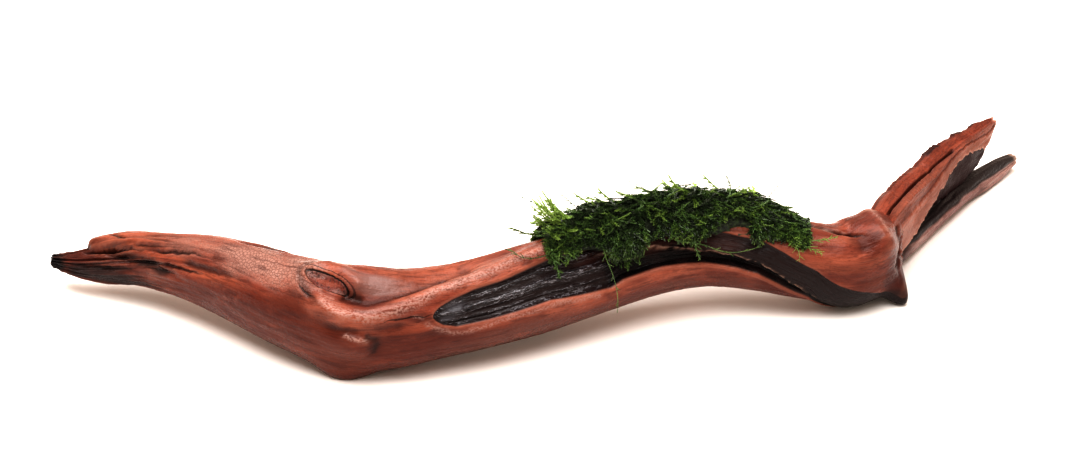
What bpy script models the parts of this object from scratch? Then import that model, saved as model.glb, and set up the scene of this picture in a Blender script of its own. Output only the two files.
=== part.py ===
"""Christmas moss growing on a piece of red driftwood, for an aquarium.

The wood lies as it would on a table or a tank floor: +X along the branch, +Y to its back, +Z up.
Lengths are in millimetres until the mesh is made, and angles round a limb are in degrees,
0 at the front, 90 on top, 180 at the back and -90 underneath.
"""

import math

import bmesh
import bpy
import numpy as np
from mathutils import Vector, noise

MM = 0.001
SPLIT_GAP = 0.3  # between solids that touch in the real thing

# The trunk's heart line and thickness: x, y, z, then the half thickness across and upwards.
TRUNK = (
    (-147.0, -9.0, 8.0, 1.3, 1.2),
    (-144.0, -10.5, 8.4, 2.6, 2.4),
    (-138.5, -12.5, 9.0, 4.0, 3.9),
    (-131.0, -14.0, 10.0, 5.2, 5.5),
    (-118.0, -17.0, 12.2, 7.4, 7.4),
    (-102.0, -25.5, 14.4, 9.4, 9.6),
    (-86.5, -36.0, 15.4, 11.2, 11.8),
    (-71.5, -46.5, 15.0, 12.4, 13.2),
    (-57.0, -53.5, 13.6, 13.0, 13.8),
    (-46.0, -54.0, 13.8, 12.8, 13.2),
    (-35.0, -51.5, 14.4, 12.4, 12.6),
    (-21.5, -47.0, 15.0, 12.3, 12.6),
    (-5.0, -39.0, 15.8, 12.4, 13.0),
    (12.0, -30.5, 17.0, 11.6, 12.4),
    (26.5, -24.5, 18.2, 11.0, 11.6),
    (41.5, -20.5, 18.2, 10.4, 10.8),
    (57.0, -20.0, 17.0, 10.6, 11.0),
    (72.0, -20.8, 14.9, 11.2, 11.3),
    (83.5, -18.5, 13.0, 12.0, 13.1),
    (90.5, -13.0, 13.2, 10.4, 12.6),
    (96.0, -5.0, 13.8, 5.0, 11.4),
)
TRUNK_RINGS = 84
TRUNK_POINTS_ROUND = 32
# Where the rings lie closer together: x and rings for each length of the heart line.
RING_DENSITY = ((-147, 1.0), (-76, 0.9), (-68, 1.8), (-50, 1.8), (-38, 1.1), (60, 0.8), (78, 1.4), (96, 2.2))

# Swellings (+) and hollows (-) of the trunk: x, angle, height, half length, half width round the limb.
LUMPS = {
    "swelling round the knot": (-62.0, 70.0, 0.9, 10.0, 8.0),
    "heart of the knot": (-61.5, 69.0, -1.6, 5.0, 2.8),
    "swelling behind the knot": (-54.0, 114.0, 2.2, 15.0, 9.0),
    "muscle at the elbow": (-54.5, 4.0, 1.3, 5.0, 3.6),
    "heel of the elbow": (-57.0, -64.0, 2.8, 5.0, 6.0),
    "shoulder of the left arm": (-96.0, 95.0, 0.6, 14.0, 8.0),
    "back of the left arm": (-88.0, 190.0, -1.4, 20.0, 7.0),
    "back of the arch": (34.0, 200.0, -1.2, 22.0, 6.0),
    "knuckle of the knee": (84.5, 42.0, 1.3, 6.0, 6.5),
    "shoulder under the slab": (92.5, 112.0, 1.8, 3.0, 4.5),
    "hollow before the knuckle": (78.0, 98.0, -1.5, 7.0, 6.0),
    "stub under the knee": (89.3, -43.0, 6.4, 2.6, 3.4),
    "heel of the knee": (84.0, -76.0, 0.6, 7.0, 6.0),
}

# Ridges (+) and creases (-) that follow a line on the trunk: height, half width, then x and angle.
LINES = {
    "collar of the knot": (
        1.3, 2.3,
        ((-54, 76), (-59, 88), (-65, 92), (-69, 80), (-68, 63), (-65, 49), (-61, 41), (-56, 34)),
    ),
    "lip from the knot to the groove": (
        1.7, 3.0,
        ((-61, 41), (-56, 34), (-51, 37), (-44, 48), (-36, 59), (-28, 67), (-18, 75), (-4, 84)),
    ),
    "trough above the lip": (-2.0, 2.9, ((-55, 60), (-51, 58), (-46, 64), (-40, 73), (-34, 81), (-26, 88))),
    "crease below the lip": (
        -1.4, 1.7,
        ((-69, 64), (-66, 51), (-61, 37), (-57, 25), (-53, 18), (-49, 20), (-44, 28), (-36, 25)),
    ),
    "split under the splinter": (-1.7, 1.6, ((-136, 68), (-124, 56), (-113, 51), (-101, 56), (-91, 55))),
    "torn hollow of the left end": (-1.6, 2.6, ((-134, 44), (-124, 54), (-116, 25), (-104, 13))),
    "short split": (-1.2, 1.3, ((-99, 36), (-90, 38), (-82, 38))),
    "split on the left arm's top": (-1.2, 1.3, ((-88, 112), (-78, 108), (-68, 104))),
    "back split": (-1.5, 1.7, ((-70, 168), (-40, 176), (-10, 170), (16, 178))),
    "underside split": (-1.2, 1.6, ((-36, 246), (-8, 240), (20, 248), (44, 240))),
    "fold of the knee": (-1.7, 1.5, ((70, 92), (75, 83), (78, 76), (83, 70))),
    "ridge of the knuckle": (1.3, 2.0, ((92, 104), (90.5, 78), (89, 57), (87, 32), (86, 8))),
    "recess beside the ridge": (-1.8, 1.5, ((93, 66), (91.5, 34), (90, 8), (88, -14))),
}

# The long rotten groove down the front: x, upper edge, lower edge and depth.
GROOVE = (
    (-36.0, 25.0, 24.0, 0.0),
    (-33.0, 40.0, 15.0, 1.8),
    (-27.5, 49.0, 12.0, 2.3),
    (-18.5, 56.0, 12.0, 2.5),
    (-7.0, 64.0, 12.0, 2.6),
    (3.0, 72.0, 10.0, 2.8),
    (12.0, 77.0, 8.0, 3.1),
    (25.5, 74.0, 12.0, 3.6),
    (39.0, 64.0, 11.0, 4.0),
    (50.5, 51.0, 3.0, 3.8),
    (57.0, 41.0, -5.0, 3.4),
    (64.0, 25.0, -13.0, 2.8),
    (70.5, 10.0, -25.0, 2.2),
    (76.0, -1.0, -34.0, 1.6),
    (81.0, -18.0, -46.0, 1.2),
    (87.0, -30.0, -62.0, 0.9),
    (92.0, -40.0, -72.0, 0.5),
)
GROOVE_WALL = 1.4
# The old growth layer that shows as a step inside the groove: x and angle.
LEDGE = ((15, 58), (21, 51), (32, 34), (38, 26), (44.5, 19), (51, 11), (57, 3), (64, -8), (69.5, -20), (75, -28))
LEDGE_SHARE = 0.42  # of the groove's depth, above the ledge

# The splinter on top of the left end, which stops short of the tip: its end's x, height and fade.
SPLINTER = {"end": -135.5, "angle": 108.0, "height": 3.5, "half_width": 5.5, "fade": 24.0}

# The upper prong of the fork: x, y, low edge, torn low edge behind, high edge, thickness.
UPPER_PRONG = (
    (94.5, -8.4, 9.2, 8.3, 26.4, 9.6),
    (101.0, 4.0, 9.6, 8.3, 25.6, 9.6),
    (108.5, 16.5, 13.0, 8.3, 25.2, 9.0),
    (114.5, 25.5, 16.4, 8.4, 26.9, 8.0),
    (120.0, 33.5, 20.0, 8.8, 25.9, 6.6),
    (127.5, 43.5, 17.7, 10.4, 25.2, 5.0),
    (133.5, 51.5, 16.2, 14.4, 24.6, 3.6),
    (136.5, 56.0, 18.6, 18.4, 23.4, 1.8),
)
UPPER_PRONG_RINGS = 30
SLOT = {"below_top": 7.5, "width": 1.5, "depth": 2.8, "from_x": 98.0, "to_x": 124.0, "fade": 6.0}

# The lower prong of the fork, a splinter that lies back along the table: as TRUNK.
LOWER_PRONG = (
    (92.7, -7.6, 4.5, 3.6, 3.0),
    (101.7, 4.9, 4.3, 3.6, 3.1),
    (112.5, 21.3, 4.2, 3.4, 3.3),
    (125.0, 40.4, 4.0, 3.2, 3.7),
    (135.0, 53.4, 3.5, 3.0, 3.7),
    (141.0, 60.9, 3.3, 2.7, 3.4),
    (146.4, 66.7, 3.5, 1.7, 2.0),
)
LOWER_PRONG_RINGS = 22
LOWER_PRONG_POINTS_ROUND = 14

# The moss mat over the trunk: x, angle of its front edge, of its back edge, and thickness.
MOSS = (
    (-7.5, 88.0, 122.0, 0.9),
    (-4.5, 70.0, 140.0, 1.9),
    (-0.5, 56.0, 152.0, 3.2),
    (6.5, 53.0, 160.0, 4.9),
    (11.0, 42.0, 164.0, 5.9),
    (15.0, 26.0, 166.0, 6.4),
    (18.5, 23.0, 166.0, 6.2),
    (23.0, 36.0, 166.0, 6.3),
    (29.0, 42.0, 166.0, 6.7),
    (36.5, 38.0, 166.0, 7.6),
    (42.0, 38.0, 165.0, 7.0),
    (49.0, 34.0, 162.0, 5.8),
    (55.0, 39.0, 156.0, 5.3),
    (60.0, 46.0, 138.0, 3.8),
    (65.0, 46.0, 104.0, 2.4),
    (69.5, 48.0, 70.0, 1.4),
)
MOSS_RINGS = 34
MOSS_POINTS_ACROSS = 14
MOSS_CLEAR = 0.6  # between the wood and the mat
MOSS_EDGE = 0.8  # thickness at the mat's edge
MOSS_LUMP = 0.9

# Stems that stand clear of the mat: radius, then x, angle and height above the wood.
STRANDS = {
    "strand_hanging_front": (0.6, ((9.4, 42, 2.4), (9.8, 24, 2.6), (10, 4, 2.8), (9.6, -19, 4.0))),
    "strand_trailing_left": (0.6, ((-5.6, 67, 1.4), (-9.5, 69, 1.2), (-12.3, 76, 1.2), (-13, 100, 1.4))),
    "strand_swag_front": (0.6, ((39.0, 33, 2.2), (43.5, 26, 2.2), (49, 24, 2.2), (54.5, 31, 2.2))),
    "strand_trailing_right": (0.6, ((70.9, 53, 1.6), (73.0, 53, 2.6), (75.5, 57, 3.0))),
    "strand_lower_right": (0.5, ((69.6, 42, 1.4), (70.8, 38, 2.2), (72.0, 35, 2.8))),
    "frond_hanging_left": (1.0, ((-4.2, 61, 2.2), (-4.2, 49, 2.0), (-4.2, 38, 2.0))),
    "frond_hanging_middle": (0.8, ((36.0, 31, 2.0), (36.4, 23, 2.0), (37.0, 16, 2.0))),
    "frond_hanging_right": (0.5, ((66.6, 41, 1.4), (67.4, 33, 2.0), (67.6, 24, 2.4))),
    "sprig_left_long": (0.35, ((3.0, 112, 6.0), (-1.0, 112, 10.0), (-5.0, 112, 13.3))),
    "sprig_left_low": (0.5, ((-5.6, 110, 2.7), (-7.8, 110, 4.4), (-9.5, 110, 5.6))),
    "sprig_top_left": (0.35, ((9.0, 112, 6.8), (7.6, 112, 9.0), (6.0, 112, 11.2))),
    "sprig_top_long": (0.35, ((27.0, 112, 8.0), (24.0, 112, 10.6), (20.5, 112, 13.5))),
    "sprig_top_middle": (0.35, ((48.2, 112, 7.4), (47.8, 112, 8.8), (47.2, 112, 10.2))),
    "sprig_top_right": (0.35, ((58.6, 112, 5.9), (59.3, 112, 7.2), (60.2, 112, 8.8))),
}
STRAND_POINTS = 7

# Each finish's colour as red, green and blue, then its roughness.
LOOKS = {
    "wet_red_wood": ((0.42, 0.13, 0.07), 0.28),
    "moss_green": ((0.05, 0.14, 0.03), 0.55),
}


def smooth(at, rows, column):
    """The value at x of a column of the rows, on a smooth curve through them."""
    xs = np.array([row[0] for row in rows], float)
    ys = np.array([row[column] for row in rows], float)
    slopes = np.gradient(ys, xs)
    at = np.clip(at, xs[0], xs[-1])
    i = np.clip(np.searchsorted(xs, at) - 1, 0, len(xs) - 2)
    gap = xs[i + 1] - xs[i]
    t = (at - xs[i]) / gap
    return (
        ys[i] * (1 + 2 * t) * (1 - t) ** 2
        + ys[i + 1] * t * t * (3 - 2 * t)
        + gap * (slopes[i] * t * (1 - t) ** 2 - slopes[i + 1] * t * t * (1 - t))
    )


def straight(at, rows, column):
    """The value at x of a column of the rows, on straight lines between them."""
    return np.interp(at, [row[0] for row in rows], [row[column] for row in rows])


def step(value, start, end):
    """0 before start, 1 after end, and a soft rise between."""
    t = np.clip((value - start) / (end - start), 0.0, 1.0)
    return t * t * (3 - 2 * t)


def turn(angle, about):
    """The difference between two angles, from -180 to 180."""
    return (angle - about + 180.0) % 360.0 - 180.0


def heart_line(rows, x):
    """Centre, front-pointing and up-pointing directions of a limb at x."""
    centre = np.stack([x, smooth(x, rows, 1), smooth(x, rows, 2)], -1)
    reach = 0.5
    ahead = np.stack([x + reach, smooth(x + reach, rows, 1), smooth(x + reach, rows, 2)], -1)
    behind = np.stack([x - reach, smooth(x - reach, rows, 1), smooth(x - reach, rows, 2)], -1)
    inside = (x + reach <= rows[-1][0])[..., None]
    ahead = np.where(inside, ahead, centre)
    behind = np.where((x - reach >= rows[0][0])[..., None], behind, centre)
    along = ahead - behind
    along /= np.linalg.norm(along, axis=-1, keepdims=True)
    front = np.cross(along, np.array([0.0, 0.0, 1.0]))
    front /= np.linalg.norm(front, axis=-1, keepdims=True)
    return centre, front, np.cross(front, along)


def even_rings(rows, count, density=((0.0, 1.0),)):
    """x of each ring along a limb's heart line, at equal steps or closer where the density is higher."""
    fine = np.linspace(rows[0][0], rows[-1][0], 2000)
    points = heart_line(rows, fine)[0]
    pace = np.linalg.norm(np.diff(points, axis=0), axis=1) * straight(fine[1:], density, 1)
    run = np.concatenate([[0.0], np.cumsum(pace)])
    return np.interp(np.linspace(0.0, run[-1], count), run, fine)


def limb_round(rows, x, angle):
    """A limb's plain oval radius at x and angle."""
    across, upward = smooth(x, rows, 3), smooth(x, rows, 4)
    c, s = np.cos(np.radians(angle)), np.sin(np.radians(angle))
    return across * upward / np.sqrt((upward * c) ** 2 + (across * s) ** 2)


def line_distance(x, angle, around, path):
    """Distance over the trunk's unrolled surface to a line given by x and angle, and how far along it."""
    best = np.full(np.shape(x), 1e9)
    for (x0, a0), (x1, a1) in zip(path, path[1:]):
        du = x1 - x0
        dv = around * math.radians(a1 - a0)
        pu = x - x0
        pv = around * np.radians(turn(angle, a0))
        t = np.clip((pu * du + pv * dv) / (du * du + dv * dv), 0.0, 1.0)
        best = np.minimum(best, np.hypot(pu - t * du, pv - t * dv))
    return best


def bark_radius(x, angle):
    """The trunk's radius without its groove and its splits."""
    radius = limb_round(TRUNK, x, angle)
    around = (smooth(x, TRUNK, 3) + smooth(x, TRUNK, 4)) / 2
    for at_x, at_angle, height, half_length, half_width in LUMPS.values():
        u = (x - at_x) / half_length
        v = around * np.radians(turn(angle, at_angle)) / half_width
        radius = radius + height * np.exp(-(u * u + v * v))
    flute_fade = step(x, -140.0, -110.0)
    radius = radius + flute_fade * (
        0.30 * np.cos(np.radians(3 * angle) + 0.035 * x)
        + 0.18 * np.cos(np.radians(5 * angle) - 0.05 * x + 1.0)
    )
    top = around * np.radians(turn(angle, SPLINTER["angle"])) / SPLINTER["half_width"]
    rise = step(x, SPLINTER["end"], SPLINTER["end"] + 2.0)
    fade = 1.0 - step(x, SPLINTER["end"] + 2.0, SPLINTER["end"] + SPLINTER["fade"])
    return radius + SPLINTER["height"] * rise * fade * np.exp(-(top**4))


def groove_depth(x, angle):
    """How deep the rotten groove cuts into the trunk at x and angle."""
    around = (smooth(x, TRUNK, 3) + smooth(x, TRUNK, 4)) / 2
    upper, lower = straight(x, GROOVE, 1), straight(x, GROOVE, 2)
    into_upper = around * np.radians(turn(upper, angle))
    into_lower = around * np.radians(turn(angle, lower))
    inside = step(into_upper, -0.2, GROOVE_WALL) * step(into_lower, -0.2, GROOVE_WALL)
    above = around * np.radians(turn(angle, straight(x, LEDGE, 1)))
    ledge = step(above, -0.6, 0.6) * step(x, LEDGE[0][0] - 8.0, LEDGE[0][0])
    return straight(x, GROOVE, 3) * inside * (1.0 - (1.0 - LEDGE_SHARE) * ledge)


def torn_fibres(x, angle):
    """The uneven depth of the torn left end and of the torn end at the fork, along the grain."""
    torn = (1.0 - step(x, -120.0, -98.0)) + step(x, 90.0, 95.0) * step(np.cos(np.radians(angle + 20)), 0.2, 0.9)
    rough = np.empty(np.shape(x))
    for i in np.ndindex(rough.shape):
        turned = math.radians(angle[i])
        place = Vector((x[i] * 0.05, 2.6 * math.cos(turned), 2.6 * math.sin(turned)))
        rough[i] = noise.noise(place)
    return 1.3 * torn * rough


def trunk_radius(x, angle):
    """The trunk's radius with everything that shapes its surface."""
    radius = bark_radius(x, angle)
    around = (smooth(x, TRUNK, 3) + smooth(x, TRUNK, 4)) / 2
    for height, half_width, path in LINES.values():
        away = line_distance(x, angle, around, path) / half_width
        radius = radius + height * np.exp(-away * away)
    radius = radius - groove_depth(x, angle) + torn_fibres(x, angle)
    return np.maximum(radius, 0.6)


def skin_radius(x, angle):
    """The trunk's radius with its swellings and ridges, and its hollows filled, which the moss clears."""
    return np.maximum(bark_radius(x, angle), trunk_radius(x, angle))


def trunk_points(x, angle, radius):
    """Points of the trunk's frame, in millimetres."""
    centre, front, up = heart_line(TRUNK, x)
    c, s = np.cos(np.radians(angle))[..., None], np.sin(np.radians(angle))[..., None]
    return centre + radius[..., None] * (front * c + up * s)


def make_object(name, mesh, look):
    """A new object in the model's collection, with its material."""
    obj = bpy.data.objects.new(name, mesh)
    model.objects.link(obj)
    obj.data.materials.append(look)
    return obj


def loft(name, rings, look):
    """A closed solid through rings of equal count, with a flat face on each end."""
    count, around = rings.shape[:2]
    bm = bmesh.new()
    verts = [[bm.verts.new(Vector(p) * MM) for p in ring] for ring in rings]
    for i in range(count - 1):
        for j in range(around):
            k = (j + 1) % around
            a, b, c, d = verts[i][j], verts[i][k], verts[i + 1][k], verts[i + 1][j]
            bm.faces.new((a, b, c))
            bm.faces.new((a, c, d))
    bm.faces.new(verts[0][::-1])
    bm.faces.new(verts[-1])
    bmesh.ops.triangulate(bm, faces=[f for f in bm.faces if len(f.verts) > 4])
    bmesh.ops.recalc_face_normals(bm, faces=bm.faces)
    mesh = bpy.data.meshes.new(name)
    bm.to_mesh(mesh)
    bm.free()
    mesh.shade_smooth()
    return make_object(name, mesh, look)


def cut_flat(obj, point, outwards):
    """Cuts away what lies beyond a plane and closes the cut with a flat face."""
    bm = bmesh.new()
    bm.from_mesh(obj.data)
    everything = bm.verts[:] + bm.edges[:] + bm.faces[:]
    bmesh.ops.bisect_plane(
        bm,
        geom=everything,
        dist=1e-7,
        plane_co=Vector(point) * MM,
        plane_no=outwards,
        clear_outer=True,
    )
    bmesh.ops.holes_fill(bm, edges=[e for e in bm.edges if e.is_boundary], sides=0)
    bmesh.ops.triangulate(bm, faces=[f for f in bm.faces if len(f.verts) > 3])
    bmesh.ops.recalc_face_normals(bm, faces=bm.faces)
    bm.to_mesh(obj.data)
    bm.free()
    obj.data.set_sharp_from_angle(angle=math.radians(40))


def make_trunk(look):
    """The branch from its torn left tip, over the elbow and the arch, to the knee where it forks."""
    angles = np.arange(TRUNK_POINTS_ROUND) * 360.0 / TRUNK_POINTS_ROUND
    rings = even_rings(TRUNK, TRUNK_RINGS, RING_DENSITY)
    x, angle = np.meshgrid(rings, angles, indexing="ij")
    trunk = loft("trunk", trunk_points(x, angle, trunk_radius(x, angle)), look)
    cut_flat(trunk, (0, 0, 0), (0, 0, -1))
    return trunk


def fork_plane():
    """A point on the face where the trunk ends and the prongs begin, and its direction."""
    end = np.array([TRUNK[-1][0]])
    centre, front, up = heart_line(TRUNK, end)
    return centre[0], np.cross(up[0], front[0])


def prong_section(low, torn_low, high, thickness, slot):
    """The upper prong's outline across the grain: a flat torn front with a slot, and a round bark back."""
    tall = high - low
    slot_top = high - min(SLOT["below_top"] - SLOT["width"] / 2, 0.45 * tall)
    slot_low = high - min(SLOT["below_top"] + SLOT["width"] / 2, 0.6 * tall)
    half = thickness / 2
    return [
        (0.55 * half, high - 0.2),
        (half, high - 0.1 * tall),
        (half, slot_top),
        (half - slot, slot_top - 0.3 * (slot_top - slot_low)),
        (half - slot, slot_low + 0.3 * (slot_top - slot_low)),
        (half, slot_low),
        (1.06 * half, low + 0.35 * (slot_low - low)),
        (0.9 * half, low),
        (0.15 * half, low + 0.4 * (torn_low - low)),
        (-0.35 * half, torn_low),
        (-0.8 * half, torn_low + 0.06 * tall),
        (-1.1 * half, torn_low + 0.3 * (high - torn_low)),
        (-1.15 * half, torn_low + 0.6 * (high - torn_low)),
        (-0.95 * half, high - 0.16 * tall),
        (-0.3 * half, high),
    ]


def make_upper_prong(look):
    """The torn slab that rises from the back of the knee."""
    rings = []
    for x in even_rings(UPPER_PRONG, UPPER_PRONG_RINGS):
        at = np.array([x])
        low, torn_low, high, thickness = (float(smooth(at, UPPER_PRONG, n)[0]) for n in (2, 3, 4, 5))
        rises = step(at, SLOT["from_x"], SLOT["from_x"] + SLOT["fade"])[0]
        falls = 1.0 - step(at, SLOT["to_x"] - SLOT["fade"], SLOT["to_x"])[0]
        slot = min(SLOT["depth"], 0.45 * thickness) * float(rises * falls)
        level = [(row[0], row[1], 0.0) for row in UPPER_PRONG]
        centre, front, _ = heart_line(level, at)
        outline = prong_section(low, torn_low, high, thickness, slot)
        rings.append([centre[0] + front[0] * s + np.array([0.0, 0.0, z]) for s, z in outline])
    prong = loft("upper_prong", np.array(rings), look)
    point, outwards = fork_plane()
    cut_flat(prong, point + outwards * SPLIT_GAP, -outwards)
    return prong


def make_lower_prong(look):
    """The long splinter under the slab, which lies back along the table and touches it."""
    angles = np.arange(LOWER_PRONG_POINTS_ROUND) * 360.0 / LOWER_PRONG_POINTS_ROUND
    x, angle = np.meshgrid(even_rings(LOWER_PRONG, LOWER_PRONG_RINGS), angles, indexing="ij")
    radius = limb_round(LOWER_PRONG, x, angle)
    radius = radius * (1.0 + 0.07 * np.cos(np.radians(3 * angle) + 0.2 * x))
    centre, front, up = heart_line(LOWER_PRONG, x)
    c, s = np.cos(np.radians(angle))[..., None], np.sin(np.radians(angle))[..., None]
    prong = loft("lower_prong", centre + radius[..., None] * (front * c + up * s), look)
    point, outwards = fork_plane()
    cut_flat(prong, point + outwards * SPLIT_GAP, -outwards)
    cut_flat(prong, (0, 0, 0), (0, 0, -1))
    return prong


def make_moss_mat(look):
    """The cushion of moss over the trunk's top, out to the tips of its fronds."""
    rings = []
    for x in np.linspace(MOSS[0][0], MOSS[-1][0], MOSS_RINGS):
        at = np.full(MOSS_POINTS_ACROSS, x)
        front, back, thick = (float(smooth(np.array([x]), MOSS, n)[0]) for n in (1, 2, 3))
        share = np.linspace(0.0, 1.0, MOSS_POINTS_ACROSS)
        angle = front + (back - front) * share
        inner = skin_radius(at, angle) + MOSS_CLEAR
        swell = np.sqrt(np.clip(np.sin(np.pi * share), 0.0, 1.0))
        lump = [
            noise.noise(Vector((x * 0.16, math.radians(a) * 2.4, 4.0))) * MOSS_LUMP * s
            for a, s in zip(angle, swell)
        ]
        outer = inner + MOSS_EDGE + (thick - MOSS_EDGE) * swell + np.array(lump)
        under, over = trunk_points(at, angle, inner), trunk_points(at, angle, outer)
        rings.append(np.concatenate([over, under[::-1]]))
    return loft("moss_mat", np.array(rings), look)


def make_strand(name, radius, route, look):
    """A single stem that hangs, trails or stands clear of the mat."""
    xs, angles, heights = (np.array(column, float) for column in zip(*route))
    even = np.linspace(0.0, 1.0, len(route))
    rows = [(e, x, a, h) for e, x, a, h in zip(even, xs, angles, heights)]
    at = np.linspace(0.0, 1.0, STRAND_POINTS)
    x, angle, height = (smooth(at, rows, n) for n in (1, 2, 3))
    points = trunk_points(x, angle, skin_radius(x, angle) + height) * MM
    curve = bpy.data.curves.new(name, "CURVE")
    curve.dimensions = "3D"
    curve.bevel_depth = radius * MM
    curve.bevel_resolution = 0
    curve.use_fill_caps = True
    spline = curve.splines.new("POLY")
    spline.points.add(len(points) - 1)
    for i, (spot, point) in enumerate(zip(spline.points, points)):
        spot.co = (*point, 1.0)
        spot.radius = 1.0 - 0.45 * i / (len(points) - 1)
    return make_object(name, curve, look)


def make_look(name):
    """A plain material with the part's colour and roughness."""
    colour, roughness = LOOKS[name]
    look = bpy.data.materials.new(name)
    look.use_nodes = True
    shader = look.node_tree.nodes["Principled BSDF"]
    shader.inputs["Base Color"].default_value = (*colour, 1.0)
    shader.inputs["Roughness"].default_value = roughness
    shader.inputs["Metallic"].default_value = 0.0
    return look


for old in list(bpy.data.objects):
    bpy.data.objects.remove(old, do_unlink=True)
model = bpy.data.collections.new("christmas_moss_on_driftwood")
bpy.context.scene.collection.children.link(model)
wood = make_look("wet_red_wood")
moss = make_look("moss_green")
make_trunk(wood)
make_upper_prong(wood)
make_lower_prong(wood)
make_moss_mat(moss)
for strand, (strand_radius, strand_route) in STRANDS.items():
    make_strand(strand, strand_radius, strand_route, moss)
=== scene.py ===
"""Christmas moss growing on a piece of red driftwood: the looks of each piece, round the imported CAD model.

The wood lies with +X along the branch, +Y to its back and +Z up. Tables and sums are in millimetres and
degrees, and each mesh is brought to metres when it is made. Angles round a limb are 0 at its front, 90 on
top, 180 at its back and -90 underneath.
"""

import math

import bpy
import numpy as np
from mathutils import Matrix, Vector, noise


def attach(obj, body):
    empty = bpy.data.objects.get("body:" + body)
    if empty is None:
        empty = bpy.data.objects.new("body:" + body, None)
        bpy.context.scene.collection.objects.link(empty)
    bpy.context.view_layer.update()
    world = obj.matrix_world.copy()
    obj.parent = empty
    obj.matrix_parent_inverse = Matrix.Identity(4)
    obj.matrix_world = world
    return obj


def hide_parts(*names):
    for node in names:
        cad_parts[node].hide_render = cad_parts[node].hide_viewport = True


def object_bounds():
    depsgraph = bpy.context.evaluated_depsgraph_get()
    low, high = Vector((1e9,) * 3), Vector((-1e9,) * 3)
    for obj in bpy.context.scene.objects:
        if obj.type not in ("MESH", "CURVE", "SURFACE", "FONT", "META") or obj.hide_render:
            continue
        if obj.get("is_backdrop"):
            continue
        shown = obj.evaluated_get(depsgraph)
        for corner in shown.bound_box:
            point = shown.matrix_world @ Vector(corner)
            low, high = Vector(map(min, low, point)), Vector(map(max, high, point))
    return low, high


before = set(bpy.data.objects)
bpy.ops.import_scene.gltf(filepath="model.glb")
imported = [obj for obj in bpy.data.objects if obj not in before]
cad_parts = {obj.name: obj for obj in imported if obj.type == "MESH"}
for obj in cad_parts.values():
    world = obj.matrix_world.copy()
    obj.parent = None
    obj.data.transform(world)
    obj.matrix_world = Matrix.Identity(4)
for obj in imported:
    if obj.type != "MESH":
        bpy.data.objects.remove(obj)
cad_low, cad_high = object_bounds()

# The trunk is one branch of red driftwood, worn smooth and soaked, with a torn left tip, a healed knot at
# its elbow, a long rotten groove down its front and a swollen knee where it forks. It grew, so it is lofted
# along its heart line, with the groove, the knot, the splits and the torn fibres carved into that surface.
MM = 0.001
# Heart line and thickness: x, y, z, then the half thickness across and upwards.
TRUNK = (
    (-147, -9, 8, 1.3, 1.2),
    (-144, -10.5, 8.4, 2.6, 2.4),
    (-138.5, -12.5, 9, 4, 3.9),
    (-131, -14, 10, 5.2, 5.5),
    (-118, -17, 12.2, 7.4, 7.4),
    (-102, -25.5, 14.4, 9.4, 9.6),
    (-86.5, -36, 15.4, 11.2, 11.8),
    (-71.5, -46.5, 15, 12.4, 13.2),
    (-57, -53.5, 13.6, 13, 13.8),
    (-46, -54, 13.8, 12.8, 13.2),
    (-35, -51.5, 14.4, 12.4, 12.6),
    (-21.5, -47, 15, 12.3, 12.6),
    (-5, -39, 15.8, 12.4, 13),
    (12, -30.5, 17, 11.6, 12.4),
    (26.5, -24.5, 18.2, 11, 11.6),
    (41.5, -20.5, 18.2, 10.4, 10.8),
    (57, -20, 17, 10.6, 11),
    (72, -20.8, 14.9, 11.2, 11.3),
    (83.5, -18.5, 13, 12, 13.1),
    (90.5, -13, 13.2, 10.4, 12.6),
    (96, -5, 13.8, 5, 11.4),
)
TRUNK_RINGS, TRUNK_COLUMNS = 560, 172
# Where rings (x) and columns (angle) lie closer together.
RING_DENSITY = (
    (-147, 1.2), (-128, 1.2), (-100, 1), (-72, 1), (-68, 1.5), (-54, 1.5), (-36, 1.2), (0, 0.8), (60, 0.8),
    (76, 1.1), (96, 1.5),
)
COLUMN_DENSITY = ((-90, 0.8), (-40, 1.5), (100, 1.7), (130, 0.9), (270, 0.8))

# Swellings (+) and hollows (-): x, angle, height, half length, half width round the limb.
LUMPS = {
    "swelling round the knot": (-62, 70, 0.9, 10, 8),
    "heart of the knot": (-61.5, 69, -1, 5, 2.8),
    "swelling behind the knot": (-54, 114, 2.2, 15, 9),
    "muscle at the elbow": (-54.2, 2, 1.9, 4.4, 4),
    "dip beside the muscle": (-48.6, 0, -0.9, 2.4, 3.4),
    "heel of the elbow": (-57, -64, 2.8, 5, 6),
    "shoulder of the left arm": (-99, 98, 0.8, 13, 8),
    "back of the left arm": (-88, 190, -1.4, 20, 7),
    "back of the arch": (34, 200, -1.2, 22, 6),
    "knuckle of the knee": (87, 48, 1.8, 3.6, 6.8),
    "shoulder under the slab": (92.5, 112, -0.6, 3, 4.5),
    "hollow before the knuckle": (78, 98, -1.5, 7, 6),
    "stub under the knee": (90.3, -43, 6.6, 1.7, 3),
    "heel of the knee": (84, -76, 0.6, 7, 6),
}

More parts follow.
